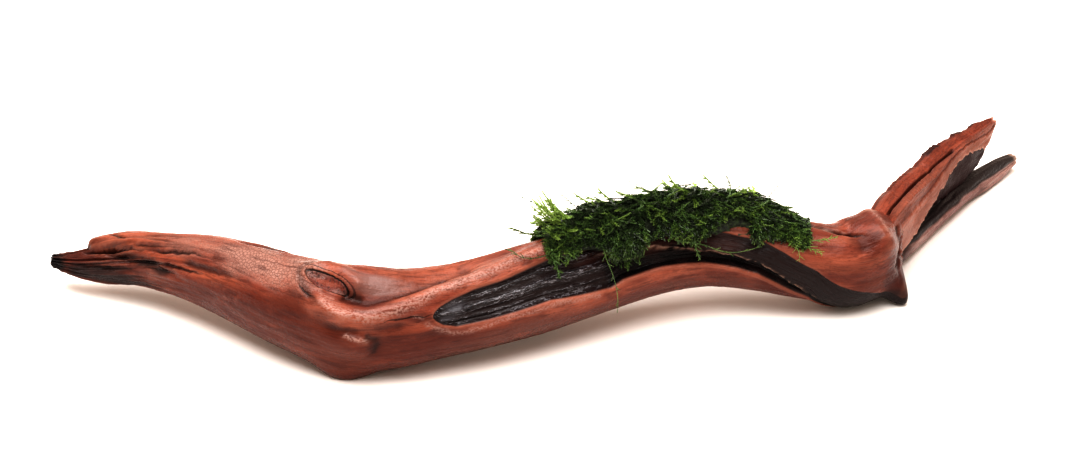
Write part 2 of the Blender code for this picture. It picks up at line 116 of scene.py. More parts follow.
# Broad ridges (+) and valleys (-): height, half width, then x and angle.
FOLDS = {
    "collar of the knot": (
        1.3, 2.2, ((-54, 76), (-59, 88), (-65, 92), (-69, 80), (-68, 63), (-65, 49), (-61, 41), (-56, 34)),
    ),
    "lip from the knot to the groove": (
        1.7, 2.8, ((-61, 41), (-56, 34), (-51, 37), (-44, 48), (-36, 59), (-28, 67), (-18, 75), (-4, 84)),
    ),
    "trough above the lip": (-1.7, 3.3, ((-55, 62), (-51, 60), (-46, 66), (-40, 74), (-34, 82), (-26, 90))),
    "bed of the trough": (-0.8, 1.3, ((-57, 56), (-51, 51), (-47.5, 55), (-43, 62), (-38, 70), (-32, 79))),
    "valley below the lip": (-0.9, 2.4, ((-64, 44), (-60, 33), (-57, 24), (-53, 18), (-49, 18), (-45, 22))),
    "ridge of the knuckle": (1.2, 1.9, ((91, 100), (90, 82), (88, 63), (87.6, 46), (87.5, 38))),
    "hollow beside the knuckle": (-1.2, 2.4, ((80.5, 80), (82, 60), (82.3, 46))),
}

# Creases and splits: depth, half width, how dark the painted shade in them is, then x and angle.
SPLITS = {
    "head of the trough": (1, 1.3, 0.8, ((-57.5, 64), (-55.5, 63), (-53, 59), (-51, 57))),
    "left of the collar": (
        0.55, 0.8, 0.55,
        ((-67.6, 92), (-68.8, 82), (-69, 71), (-67.4, 61), (-65, 53), (-62.6, 46), (-59.8, 40), (-57, 35)),
    ),
    "right of the muscle": (0.5, 0.9, 0.5, ((-52, 14), (-50, 9), (-49.4, 0), (-50, -10), (-52, -20))),
    "under the splinter": (
        1.2, 0.7, 0.45,
        (
            (-136, 70), (-131.5, 64), (-127.5, 62), (-120.5, 55), (-114.5, 52), (-108.5, 51), (-103, 53),
            (-98, 54), (-89, 50),
        ),
    ),
    "over that": (0.6, 0.5, 0.4, ((-127, 70), (-120, 66), (-113, 60), (-106, 58))),
    "slit in the splinter": (0.7, 0.45, 0.8, ((-127.5, 96), (-125.5, 88), (-123, 81), (-119.5, 75))),
    "torn hollow": (
        1.5, 1.6, 0.6,
        (
            (-129, 60), (-127, 54), (-124.5, 42), (-120.5, 29), (-114, 21.5), (-109, 17.5), (-104, 12.5),
            (-100, 10),
        ),
    ),
    "short split": (0.7, 0.6, 0.5, ((-107.5, 26), (-102, 25), (-98, 26), (-91, 27))),
    "long wedge": (0.8, 1.1, 0.3, ((-101, 36), (-97, 37), (-90, 37), (-80, 39))),
    "shallow split on the side": (0.4, 0.7, 0.2, ((-141, 60), (-134, 44), (-127, 30), (-118, 10))),
    "lowest split of the left end": (0.5, 0.8, 0.4, ((-139, 20), (-128, 10), (-116, 2), (-104, -6))),
    "split on the left arm's top": (
        1.1, 1.1, 0.9, ((-89, 99), (-85, 103), (-82, 109), (-79, 115), (-74, 117), (-69, 115)),
    ),
    "back split": (1.5, 1.2, 0.9, ((-70, 168), (-40, 176), (-10, 170), (16, 178))),
    "underside split": (1.2, 1.1, 0.9, ((-36, 246), (-8, 240), (20, 248), (44, 240))),
    "fold of the knee": (2.1, 0.9, 1, ((69, 94), (74, 88), (77, 79), (80.5, 73), (83, 64), (84, 58))),
    "recess beside the ridge": (1.8, 1, 0.8, ((93.5, 70), (92, 46), (91.2, 24), (90.6, 4), (90.2, -22))),
}

# Cracks as thin as a hair, as x and angle, each painted with a dark line of shade.
CRACKS = (((-67, 56), (-65, 51), (-63.4, 48.6)), ((-47, 29), (-44, 31), (-40, 31), (-37, 31)))

# Thin pale edges where fibres have torn, and painted highlights on the knee's fold and shoulder:
# half width, how pale, then x and angle.
PALE_EDGES = {
    "edge of the recess": (0.18, 0.6, ((90.7, 40), (90.2, 32), (89.7, 24))),
    "highlight on the rim of the knee's fold": (0.22, 0.6, ((68, 98), (71.5, 94), (74.3, 90.5), (76, 84))),
    "lip of the torn right edge": (0.6, 0.8, ((95, 40), (94.8, 30), (94.6, 20))),
    "highlight on the right shoulder": (0.4, 0.5, ((88, 108), (90, 98), (91, 88))),
}
# Crests painted with a speckled pale highlight: half width, strength, then x and angle.
CREST_HIGHLIGHTS = {
    "lip from the knot": (
        1.25, 1,
        (
            (-60, 46), (-58, 42), (-55, 37), (-51, 35), (-47, 37), (-43, 43), (-38, 50), (-35, 57),
            (-26, 66), (-18, 71), (-8, 78), (4, 86),
        ),
    ),
    "collar under the knot": (0.6, 0.6, ((-64, 60), (-61, 54), (-58.5, 52))),
    "muscle of the elbow": (0.5, 1.2, ((-55, 13), (-53.4, 10.5), (-51.2, 8.6))),
    "rim under the groove": (
        0.7, 0.8, ((-38, 20), (-35, 9), (-31, 1), (-27, 1), (-20, 6), (-10, 7), (-4, 7), (6, 0)),
    ),
    "left tip of the groove": (0.4, 1, ((-41, 31), (-39, 30))),
    "knuckle": (0.5, 0.8, ((90, 88), (88.9, 70), (88.3, 58), (87.9, 46))),
}

# The long rotten groove down the front: x, upper edge, lower edge and depth.
GROOVE = (
    (-36.6, 29, 26, 0.4), (-36, 33, 22, 1.2), (-34.2, 39, 15, 1.7), (-31, 45, 9.5, 2), (-25, 53, 9.5, 2.3),
    (-18.5, 56, 10.5, 2.5), (-7, 65, 13, 2.6), (3, 72, 6, 2.8), (10, 76, 2.5, 3.1), (14, 77, 9, 3.2),
    (25.5, 74, 10, 3.6), (39, 64, 4.5, 4), (50.5, 51, -4, 3.8), (57, 46, -12, 3.2), (64, 33, -24, 2.4),
    (70.5, 15, -38, 1.8), (76, -1, -60, 1.3), (81, -15, -78, 1), (86.5, -32, -88, 0.8),
    (89.5, -37, -88, 0.6), (92, -32, -88, 0.5),
)
GROOVE_WALL = 0.9
# Ribs of harder wood that stand in the groove's left part: share of its width, half width, height.
GROOVE_RIBS = ((0.05, 0.05, 0.3), (0.2, 0.035, 0.4), (0.52, 0.1, 0.7), (0.86, 0.07, 0.6))
# The old growth layer that shows as a step inside the groove's right part: x and angle.
LEDGE = (
    (15, 58), (21, 51), (32, 34), (38, 26), (44.5, 19), (51, 14), (57, 6), (64, -9), (69.5, -28), (75, -46),
    (81, -62),
)
LEDGE_SHARE = 0.42  # of the groove's depth, above the ledge
# A pit in the groove's left part: x, angle, radius and depth.
PIT = (-27.3, 31, 0.9, 0.8)

# Where the front is painted dark, as shade: x, the angle there and how many degrees the change takes.
SHADE = (
    (-147, 30, 24), (-128, 4, 14), (-112, -4, 16), (-96, 16, 16), (-81.5, 30, 14), (-71.5, 40, 12),
    (-65.5, 38, 8), (-60.5, 29, 6), (-56, 21, 5), (-51.5, 14, 7), (-45, 20, 9), (-36, 14, 12), (-28, 2, 10),
    (-10, -4, 10), (6, -20, 16), (40, -20, 16), (54, -20, 12), (62, -18, 10), (74, -38, 14), (96, -44, 14),
)
# Stains, and patches of painted shade and reflection: x, angle, half length, half width and strength.
STAINS = {
    "tan": (
        (-80, 68, 15, 6.5, 1), (-71, 84, 6, 6, 1), (-100, 68, 12, 4, 0.6), (-66, 52, 4, 2, 0.4),
        (-24, 84, 14, 4, 0.35), (-108, 84, 16, 4, 0.2),
    ),
    "orange": (
        (-121, 47, 4, 1.4, 1), (-112, 43, 7, 1.3, 0.9), (-103, 40, 4, 1, 0.8), (-95, 29, 10, 1.6, 0.9),
        (-88, 33, 8, 1, 0.8), (-118, 74, 12, 3, 0.7), (-131, 84, 5, 3, 0.6), (-62, 72, 3.4, 0.8, 0.8),
        (-60, 38, 6, 1.6, 0.5), (-50, 32, 8, 1.5, 0.6), (52, 70, 6, 4, 0.7), (72, 34, 8, 3, 0.35),
        (-108, 100, 14, 3, 0.5), (-32, 92, 16, 3, 0.4), (-54, 28, 7, 1.4, 0.5), (-58, 8, 6, 3, 0.4),
        (-57, -30, 9, 6, 0.3), (-66, 24, 8, 3, 0.4), (-40, 16, 6, 1.6, 0.5), (8, -6, 16, 2.5, 0.4),
        (30, -4, 14, 2, 0.3), (-121, 72, 9, 1.8, 0.9), (-125, 74, 5, 3, 0.8), (-22, 2, 14, 1.6, 0.6),
    ),
    # painted reflection on the groove's smooth left tip
    "slate_reflection": ((-30.5, 33, 4, 2.2, 1), (-33, 22, 2.4, 1.2, 0.8)),
    # painted reflection of the pale room on wet flat patches and edges
    "grey_reflection": (
        (-48, 79, 9.5, 3.2, 1), (-57, 86, 4, 1.6, 0.6), (-80, 113, 6, 1.2, 0.6), (-112, 2, 8, 1.6, 0.35),
        (-130, -14, 12, 1.6, 0.5),
    ),
    # greyish mauve: on the lower front a painted reflection of the pale floor, round the back the wood's tone
    "mauve_and_reflection": (
        (-14, -26, 14, 5, 0.8), (20, -34, 22, 5, 0.6), (50, -44, 12, 5, 0.6), (-30, -34, 10, 5, 0.4),
        (-70, 200, 14, 7, 0.7), (10, 215, 22, 7, 0.6), (-118, 150, 12, 5, 0.5), (70, 170, 10, 6, 0.5),
    ),
    # dark red wood, and painted shade on the knee's shaded side and in the recess at its heel
    "maroon_and_shade": (
        (-66, 27, 5, 4, 0.6), (83.5, 50, 3.5, 4, 0.85), (87, 45, 2.2, 5, 0.4), (84, -10, 5, 6, 0.6),
        (64, -30, 9, 5, 0.7), (44, -24, 14, 4, 0.5), (91.5, -14, 3.5, 6, 1), (89, -12, 3.5, 9, 1),
        (91, -26, 3, 3, 0.8), (-63, 5, 8, 4, 0.4), (-39.5, 28, 3.5, 1.6, 0.8), (82, 54, 3.5, 5, 0.6),
        (86, 92, 5, 5, 0.6), (78, 8, 7, 4, 0.5), (89, 8, 2.5, 9, 0.7), (70, 62, 12, 9, 0.3),
        (74, 88, 7, 5, 0.5), (-50, 54, 7, 1.8, 0.7), (-42, 64, 8, 1.6, 0.5), (-122, 24, 14, 5, 0.7),
        (-137, 60, 9, 7, 0.9), (-134, 42, 9, 6, 0.8), (-126, 30, 9, 5, 0.8), (-128, 34, 9, 3, 0.6),
        (-94, 37, 9, 1.4, 0.9), (-106, 26, 7, 1.6, 0.7), (-46, 24, 7, 1.4, 0.5), (-60, 34, 4, 1.6, 0.4),
        (-57, 22, 3, 1.8, 0.5), (-50, -6, 2.6, 2.4, 0.8), (-72, 14, 5, 3, 0.5), (-44, 4, 6, 2, 0.5),
        (-34, -8, 8, 2.5, 0.5), (-66, 46, 4, 1.6, 0.5), (40, 130, 30, 8, 0.4), (-40, 150, 20, 8, 0.5),
        (-52, 66, 3, 3, 0.5), (72, 70, 6, 2.5, 0.35), (91, 30, 2.5, 9, 0.5),
    ),
    "wet": (
        (-50, 78, 9, 3.5, 0.4), (-40, 80, 7, 2.5, 0.3), (-46, 40, 9, 1.6, 0.7), (-30, 60, 12, 1.6, 0.5),
        (-53, 10, 3, 1, 1), (-60, 54, 4, 1.5, 0.8), (-66, 88, 5, 3, 0.5), (-118, 78, 14, 3, 0.4),
        (89, 70, 4, 5, 0.5), (88, 44, 3, 3, 0.5), (0, 96, 20, 4, 0.3), (-126, 22, 10, 3, 0.4),
    ),
    "umber": ((24, 58, 20, 5, 1), (8, 62, 8, 5, 0.8), (42, 38, 10, 4, 0.7)),
    # black tip, stub and underside, and painted shade in the crease by the muscle and in the torn hollow
    "char_and_shade": (
        (-50.2, -5, 1.5, 1.2, 0.3), (-147, 60, 4.5, 30, 1), (-144, 14, 4, 4, 1), (-137, -16, 6, 4, 0.9),
        (-127, -28, 14, 5, 0.9), (-114, 23, 5, 1.6, 0.8), (-108, 13, 3, 1.4, 0.75),
        (-122, 42, 4.5, 1.2, 0.7), (-81, 112, 5, 1.6, 0.6), (90, -50, 4.5, 4, 1), (84, -64, 6, 4, 0.6),
        (-20, 262, 22, 5, 0.5), (60, 268, 16, 5, 0.5),
    ),
}

# The splinter on top of the left end, which stops short of the tip.
SPLINTER = {"end": -135.8, "angle": 121, "height": 3.1, "half_width": 3.3, "widens": 0.24, "fade": 30}
# The plug of dead wood in the knot: a sunken oval inside dark rings.
KNOT = {"x": -61.9, "angle": 71, "half_length": 5.7, "half_width": 1.95, "lean": -0.16}
KNOT_RINGS = ((1.02, 0.09, -0.5), (1.18, 0.1, 0.3), (1.33, 0.09, -0.15))  # reach, width, height


def smooth(at, rows, column):
    """The value at x of a column of the rows, on a smooth curve through them."""
    xs, ys = np.array(rows, float)[:, (0, column)].T
    slopes = np.gradient(ys, xs)
    at = np.clip(at, xs[0], xs[-1])
    i = np.clip(np.searchsorted(xs, at) - 1, 0, len(xs) - 2)
    gap = xs[i + 1] - xs[i]
    t = (at - xs[i]) / gap
    return (
        ys[i] * (1 + 2 * t) * (1 - t) ** 2
        + ys[i + 1] * t * t * (3 - 2 * t)
        + gap * (slopes[i] * t * (1 - t) ** 2 - slopes[i + 1] * t * t * (1 - t))
    )


def straight(at, rows, column=1):
    """The value at x of a column of the rows, on straight lines between them."""
    return np.interp(at, *np.array(rows, float)[:, (0, column)].T)


def step(value, start, end):
    """0 before start, 1 after end, and a soft rise between."""
    t = np.clip((value - start) / (end - start), 0, 1)
    return t * t * (3 - 2 * t)


def bell(value, width):
    """1 at 0, and a soft fall to both sides."""
    return np.exp(-((value / width) ** 2))


def turn(angle, about):
    """The difference between two angles, from -180 to 180."""
    return (angle - about + 180) % 360 - 180


def cos_sin(angle):
    """Cosine and sine of an angle in degrees."""
    return np.cos(np.radians(angle)), np.sin(np.radians(angle))


def rough(points, lump, seed=0):
    """Smooth noise at points, about -1 to 1, with lumps of that size."""
    flat = (points.reshape(-1, 3) / lump + seed).tolist()
    return np.array([noise.noise(p) for p in flat]).reshape(points.shape[:-1])


def fibrous(grain, stretch, lump, seed=0):
    """Noise drawn out along the grain."""
    return rough(grain * np.array([stretch, 1, 1]), lump, seed)


def unit(vectors):
    """Vectors brought to a length of 1."""
    return vectors / np.linalg.norm(vectors, axis=-1, keepdims=True)


def heart_line(rows, x):
    """Centre, front-pointing and up-pointing directions of a limb at x."""
    centre, ahead, behind = (
        np.stack([at, smooth(at, rows, 1), smooth(at, rows, 2)], -1) for at in (x, x + 0.5, x - 0.5)
    )
    ahead = np.where((x + 0.5 <= rows[-1][0])[..., None], ahead, centre)
    behind = np.where((x - 0.5 >= rows[0][0])[..., None], behind, centre)
    along = unit(ahead - behind)
    front = unit(np.cross(along, np.array([0, 0, 1])))
    return centre, front, np.cross(front, along)


def spread(fine, weights, count):
    """So many of the fine values, closer together where the weights between them are higher."""
    run = np.concatenate([[0], np.cumsum(weights)])
    return np.interp(np.linspace(0, run[-1], count), run, fine)


def even_rings(rows, count, density=((0, 1),)):
    """x of each ring along a limb's heart line, and how far along the line each is."""
    fine = np.linspace(rows[0][0], rows[-1][0], 3000)
    gaps = np.linalg.norm(np.diff(heart_line(rows, fine)[0], axis=0), axis=1)
    x = spread(fine, gaps * straight(fine[1:], density), count)
    return x, np.interp(x, fine[1:], np.cumsum(gaps))


def limb_round(rows, x, angle):
    """A limb's plain oval radius at x and angle."""
    across, upward = smooth(x, rows, 3), smooth(x, rows, 4)
    c, s = cos_sin(angle)
    return across * upward / np.sqrt((upward * c) ** 2 + (across * s) ** 2)


def limb_points(rows, x, angle, radius):
    """Points of a limb's surface at x, angle and radius."""
    centre, front, up = heart_line(rows, x)
    c, s = cos_sin(angle)
    return centre + radius[..., None] * (front * c[..., None] + up * s[..., None])


def around_at(x):
    """The trunk's mean radius at x, which turns angles into millimetres."""
    return (smooth(x, TRUNK, 3) + smooth(x, TRUNK, 4)) / 2


def apart(x, angle, at_x, at_angle):
    """How far points lie from a place on the unrolled trunk, along it and round it."""
    return x - at_x, around_at(x) * np.radians(turn(angle, at_angle))


def line_reach(x, angle, path):
    """How far a line of x and angle is over the unrolled trunk, on which side, and at what share of it."""
    around = around_at(x)
    best, side, share = np.full(np.shape(x), 1e9), np.zeros(np.shape(x)), np.zeros(np.shape(x))
    pairs = list(zip(path, path[1:]))
    lengths = [math.hypot(x1 - x0, 12 * math.radians(a1 - a0)) for (x0, a0), (x1, a1) in pairs]
    run = 0
    for ((x0, a0), (x1, a1)), length in zip(pairs, lengths):
        du, dv = x1 - x0, around * math.radians(a1 - a0)
        pu, pv = x - x0, around * np.radians(turn(angle, a0))
        t = np.clip((pu * du + pv * dv) / (du * du + dv * dv), 0, 1)
        away = np.hypot(pu - t * du, pv - t * dv)
        near = away < best
        best = np.where(near, away, best)
        side = np.where(near, np.where(du * pv > dv * pu, 1, -1), side)
        share = np.where(near, (run + t * length) / sum(lengths), share)
        run += length
    return best, side, share


def strongest(x, angle, lines):
    """The strongest at each point of lines that are given by half width, strength and path."""
    reaches = [most * bell(line_reach(x, angle, path)[0], wide) for wide, most, path in lines.values()]
    return np.max(reaches, axis=0)


def bark_radius(x, angle):
    """The trunk's radius without its groove, folds and splits."""
    radius = limb_round(TRUNK, x, angle)
    for at_x, at_angle, height, half_length, half_width in LUMPS.values():
        u, v = apart(x, angle, at_x, at_angle)
        radius = radius + height * bell(np.hypot(u / half_length, v / half_width), 1)
    waves = 0.3 * np.cos(np.radians(3 * angle) + 0.035 * x)
    waves = waves + 0.18 * np.cos(np.radians(5 * angle) - 0.05 * x + 1)
    radius = radius + step(x, -140, -110) * waves
    behind, top = apart(x, angle, SPLINTER["end"], SPLINTER["angle"])
    top = top / (SPLINTER["half_width"] + SPLINTER["widens"] * np.maximum(behind, 0))
    rise = np.clip((behind - 1.8 * np.minimum(top * top, 1.5)) / 1.8, 0, 1)
    rise = np.sqrt(rise * (2 - rise)) * (0.86 + 0.14 * step(behind, 2, 14))
    fade = 1 - step(behind, 2, SPLINTER["fade"])
    return radius + SPLINTER["height"] * rise * fade * np.exp(-(top**8))


def folded_radius(x, angle, least=-9):
    """The trunk's radius with its folds, or only with those that are higher than the least."""
    radius = bark_radius(x, angle)
    for height, half_width, path in FOLDS.values():
        if height > least:
            radius = radius + height * bell(line_reach(x, angle, path)[0], half_width)
    return radius


def groove_at(x, angle):
    """Distance in from the groove's edge, share of the way up its width, and distance above the ledge."""
    around = around_at(x)
    upper, lower = straight(x, GROOVE, 1), straight(x, GROOVE, 2)
    into = around * np.radians(np.minimum(turn(upper, angle), turn(angle, lower)))
    into = np.where(x > GROOVE[0][0], into, np.minimum(into, x - GROOVE[0][0]))
    share = np.clip(turn(angle, lower) / np.maximum(upper - lower, 1), 0, 1)
    above = around * np.radians(turn(angle, straight(x, LEDGE)))
    return into, share, above


def grain_of(arc, angle, radius):
    """Places in a straightened limb, for patterns that follow its grain."""
    c, s = cos_sin(angle)
    return np.stack([arc, radius * c, radius * s], -1)


def sunken(radius, passes):
    """How far each point lies below its surroundings."""
    blurred = radius
    for _ in range(passes):
        padded = np.pad(blurred, ((1, 1), (0, 0)), mode="edge")
        blurred = (padded[:-2] + 2 * blurred + padded[2:]) / 4
        blurred = (np.roll(blurred, 1, 1) + 2 * blurred + np.roll(blurred, -1, 1)) / 4
    return blurred - radius


def stains_at(x, angle, grain):
    """How strong each stain or painted patch is at each point, with edges that follow the grain."""
    ragged = 0.35 * fibrous(grain, 0.3, 3, 51) + 0.2 * fibrous(grain, 0.2, 1, 57)
    strengths = {}
    for name, blurs in STAINS.items():
        strengths[name] = np.zeros(x.shape)
        for at_x, at_angle, half_length, half_width, most in blurs:
            u, v = apart(x, angle, at_x, at_angle)
            edge = np.hypot(u / half_length, v / half_width) + ragged
            strengths[name] = np.maximum(strengths[name], most * (1 - step(edge, 0.35, 1.25)))
    return strengths


def carve(x, angle, arc):
    """The trunk's radius with all that shapes its surface, and the masks that its colours follow."""
    around = around_at(x)
    grain = grain_of(arc, angle, 12)
    drift_x = x + 0.6 * rough(grain, 4, 31) + 0.25 * rough(grain, 1.4, 33)
    drift_angle = angle + np.degrees((0.5 * rough(grain, 3, 35) + 0.25 * rough(grain, 1.2, 37)) / around)
    radius = folded_radius(x, angle)

    # Painted shade in the splits and creases, darkest along their middle.
    split_shade = np.zeros(x.shape)
    uneven = 0.9 + 0.5 * fibrous(grain, 0.25, 3.5, 39)
    for depth, half_width, dark, path in SPLITS.values():
        away, _, share = line_reach(drift_x, drift_angle, path)
        fade = step(share, -0.05, 0.1) * (1 - step(share, 0.6, 1))
        hollow = bell(away, half_width * (0.35 + 0.65 * fade)) * uneven * (0.1 + 0.9 * fade)
        radius = radius - depth * hollow
        split_shade = np.maximum(split_shade, dark * hollow)
    crack, nearest = np.full(x.shape, 3.0), np.full(x.shape, 3.0)
    for path in CRACKS:
        away, side, share = line_reach(drift_x, drift_angle, path)
        away = away + 0.25 * (1 - step(share, 0, 0.2) * (1 - step(share, 0.7, 1)))
        crack = np.where(away < nearest, away * side, crack)
        nearest = np.minimum(nearest, away)
    radius = radius - 0.35 * bell(nearest, 0.35)

    u, v = apart(x, angle, KNOT["x"], KNOT["angle"])
    c, s = math.cos(KNOT["lean"]), math.sin(KNOT["lean"])
    reach = np.hypot((u * c + v * s) / KNOT["half_length"], (v * c - u * s) / KNOT["half_width"])
    for at, width, height in KNOT_RINGS:
        radius = radius + height * bell(reach - at, width)
    plug = 1 - step(reach, 0.85, 1)
    radius = radius - plug * (0.5 - 0.35 * rough(grain, 1.4)) - plug * 0.25 * np.abs(rough(grain, 0.7, 5))

    into, share, above = groove_at(x, angle)
    inside = step(into, -0.3, GROOVE_WALL)
    on_ledge = step(x, LEDGE[0][0] - 8, LEDGE[0][0])
    above = above + 0.5 * rough(grain, 2) + 0.25 * rough(grain, 0.8, 3)
    deep = straight(x, GROOVE, 3) * inside * (1 - (1 - LEDGE_SHARE) * step(above, -0.25, 0.25) * on_ledge)
    ribs = sum(height * bell(share - at, width) for at, width, height in GROOVE_RIBS)
    streaks = rough(np.stack([arc * 0.09, share * 14, share * 0], -1), 1, 3)
    ribs_end = 1 - step(x, 4, 16)
    radius = radius - deep + inside * (ribs_end * ribs + (0.25 + 0.2 * ribs_end) * streaks)
    rim = inside * on_ledge * bell(above - 0.2, 0.35) * (1 - step(x, 71, 76))
    radius = radius + 0.35 * rim
    radius = radius - PIT[3] * bell(np.hypot(*apart(x, angle, *PIT[:2])) - PIT[2], 0.3)

    torn_left = (1 - step(x, -120, -92)) * (1 - 0.8 * bell(turn(angle, 106), 28))
    torn_right = step(x, 90, 95) * step(np.cos(np.radians(angle + 20)), 0.2, 0.9)
    torn = np.maximum(torn_left, torn_right)
    fibres, fine = fibrous(grain, 0.07, 2.6), fibrous(grain, 0.1, 1.1, 9)
    rifts = bell(fibrous(grain, 0.045, 3, 61), 0.07) * step(fibrous(grain, 0.4, 7, 67), -0.15, 0.25)
    radius = radius + torn * (0.8 * fibres + 0.35 * fine - 0.45 * rifts)
    radius = radius + (1 - inside) * (0.2 * fibres + 0.08 * fine) + torn_right * 1.1 * rough(grain, 1.5, 87)
    radius = radius + 0.1 * rough(grain, 3.2, 17) + 0.05 * rough(grain, 1, 29)
    radius = radius + (1 - step(x, -146.5, -140)) * (0.2 + 0.9 * rough(grain, 2, 83))

    # Painted shade over the lower front, below the SHADE line, but not round the back.
    from_line = turn(straight(x, SHADE, 1), angle) + 7 * fibrous(grain, 0.25, 4, 71)
    at_back = turn(angle, 200)
    shade = step(from_line / straight(x, SHADE, 2), -1, 1)
    shade = shade * (1 - step(at_back, -40, 30) * (np.abs(at_back) < 90))
    pale_rim = 0.8 * rim * step(rough(grain, 1.6, 41), -0.5, 0.3)
    across = share * np.radians(straight(x, GROOVE, 1) - straight(x, GROOVE, 2)) * around
    masks = {
        "grain": grain,
        "groove_grain": np.stack([arc, across, share * 0], -1),
        # painted shade in the splits and in the rifts of the torn fibres
        "split_shade": np.maximum(split_shade, 0.8 * torn * rifts),
        "crack": crack,
        "rot": np.clip(into, -2, 2),
        # pale torn fibres, with painted highlights along the knee's fold and shoulder
        "pale": np.maximum(pale_rim, strongest(drift_x, drift_angle, PALE_EDGES)),
        "shade": shade,
        "streaky": 1 - 0.75 * step(x, 46, 60),
        "ring": step(v + 0.35 * u, -2.6, 1.4),
        # painted highlight along the crests
        "glow": strongest(drift_x, drift_angle, CREST_HIGHLIGHTS),
        # where the groove's ribs are wet: a clear coat there, and painted glints
        "wet_rib_glints": ribs_end * inside * np.clip(2.2 * ribs + 0.6 * streaks, 0, 1),
        "knot": np.clip(reach, 0, 2.5),
        "torn": torn,
        "ledge": np.clip(above, -2, 2) * on_ledge + 2 * (1 - on_ledge),
    }
    return np.maximum(radius, 0.6), masks | stains_at(x, angle, grain)


def store(mesh, name, values):
    """One number or three at each point of a mesh, for its material to read."""
    values = np.asarray(values, np.float32)
    kind, field = ("FLOAT_VECTOR", "vector") if values.ndim > 1 else ("FLOAT", "value")
    mesh.attributes.new(name, kind, "POINT").data.foreach_set(field, values.ravel())


def set_down(name, data):
    """An object of that name in the scene."""
    made = bpy.data.objects.new(name, data)
    bpy.context.scene.collection.objects.link(made)
    return made


def make_limb(name, points, masks, look, inwards=False):
    """A closed limb of quads through rings of points, with its masks stored at the points."""
    rings, columns = points.shape[:2]

    def closed(values):
        """The rings' values, and those of the two points that close the ends."""
        values = np.broadcast_to(values, (rings, columns, *values.shape[2:]))
        ends = values[:1].mean(1), values[-1:].mean(1)
        return np.concatenate([values.reshape(-1, *values.shape[2:]), *ends])

    at = np.arange(rings * columns).reshape(rings, columns)
    beside = np.roll(at, -1, 1)
    quads = np.stack([at[:-1], at[1:], beside[1:], beside[:-1]], -1).reshape(-1, 4)
    first = np.stack([at[0], beside[0], np.full(columns, rings * columns)], -1)
    last = np.stack([beside[-1], at[-1], np.full(columns, rings * columns + 1)], -1)
    faces = quads.tolist() + first.tolist() + last.tolist()
    if inwards:
        faces = [face[::-1] for face in faces]
    mesh = bpy.data.meshes.new(name)
    mesh.from_pydata((closed(points) * MM).tolist(), [], faces)
    for mask, values in masks.items():
        store(mesh, mask, closed(values))
    mesh.shade_smooth()
    mesh.validate()
    mesh.materials.append(look)
    return set_down(name, mesh)


class Wire:
    """A node's output. A sum with it adds the node that works it out."""

    def __init__(self, tree, socket):
        self.tree, self.socket = tree, socket

    def sum(self, how, other=0, turned=False):
        """This and another value put together."""
        pair = {0: other, 1: self} if turned else {0: self, 1: other}
        return add(self.tree, "ShaderNodeMath", pair, operation=how)

    def __add__(self, other):
        return self.sum("ADD", other)

    def __sub__(self, other):
        return self.sum("SUBTRACT", other)

    def __rsub__(self, other):
        return self.sum("SUBTRACT", other, turned=True)

    def __mul__(self, other):
        return self.sum("MULTIPLY", other)

    def __abs__(self):
        return self.sum("ABSOLUTE")


def live(sockets, name=None):
    """The socket of that name that is in use, or the first."""
    return next(s for s in sockets if s.enabled and name in (None, s.name))


def feed(tree, made, inputs):
    """Gives a node its inputs, as values or as wires. Colours are red, green and blue."""
    for name, value in inputs.items():
        socket = made.inputs[name] if isinstance(name, int) else live(made.inputs, name)
        if isinstance(value, Wire):
            tree.links.new(value.socket, socket)
        else:
            socket.default_value = (*value, 1) if socket.type == "RGBA" else value


def add(tree, kind, inputs, give=None, **settings):
    """A node with its inputs and settings. Returns its output of that name, or its first."""
    made = tree.nodes.new(kind)
    for name, value in settings.items():
        setattr(made, name, value)
    feed(tree, made, inputs)
    return Wire(tree, live(made.outputs, give))


def wires(tree, outputs):
    """A node's outputs by name."""
    return {socket.name: Wire(tree, socket) for socket in outputs}


def open_group(group, way, kinds):
    """Inputs or outputs of a node group, by name and kind."""
    for name, kind in kinds.items():
        group.interface.new_socket(name, in_out=way, socket_type="NodeSocket" + kind)


def mixed(factor, below, above, kind="RGBA"):
    """From one colour or value to another."""
    return add(factor.tree, "ShaderNodeMix", {"Factor": factor, "A": below, "B": above}, data_type=kind)


def layered(colour, layers):
    """A colour under layers of others, each given by its strength and its colour."""
    for factor, above in layers:
        colour = mixed(factor, colour, above)
    return colour


def ranged(value, low, high, to_low=0, to_high=1):
    """A value brought from one range to another, with soft ends."""
    inputs = {"Value": value, "From Min": low, "From Max": high, "To Min": to_low, "To Max": to_high}
    return add(value.tree, "ShaderNodeMapRange", inputs, interpolation_type="SMOOTHSTEP")


def near(value, at, width):
    """1 where a value is close to a level, and 0 beyond a width from it."""
    return ranged(abs(value - at), 0.4 * width, width, 1, 0)


def speckle(place, along, scale, detail=3, across=1):
    """A noise pattern, stretched along the grain."""
    place = add(place.tree, "ShaderNodeMapping", {"Vector": place, "Scale": (along, across, across)})
    inputs = {"Vector": place, "Scale": scale, "Detail": detail, "Roughness": 0.6}
    return add(place.tree, "ShaderNodeTexNoise", inputs)


def dented(height, strength, distance):
    """Fine dents and grooves in a surface."""
    inputs = {"Height": height, "Strength": strength, "Distance": distance}
    return add(height.tree, "ShaderNodeBump", inputs)


def new_look(name):
    """A material, its shader, and a function that gives what the mesh holds at its points."""
    look = bpy.data.materials.new(name)
    look.use_nodes = True
    tree = look.node_tree

    def mask(name, give="Fac"):
        return add(tree, "ShaderNodeAttribute", {}, give, attribute_name=name)

    return look, tree.nodes["Principled BSDF"], mask


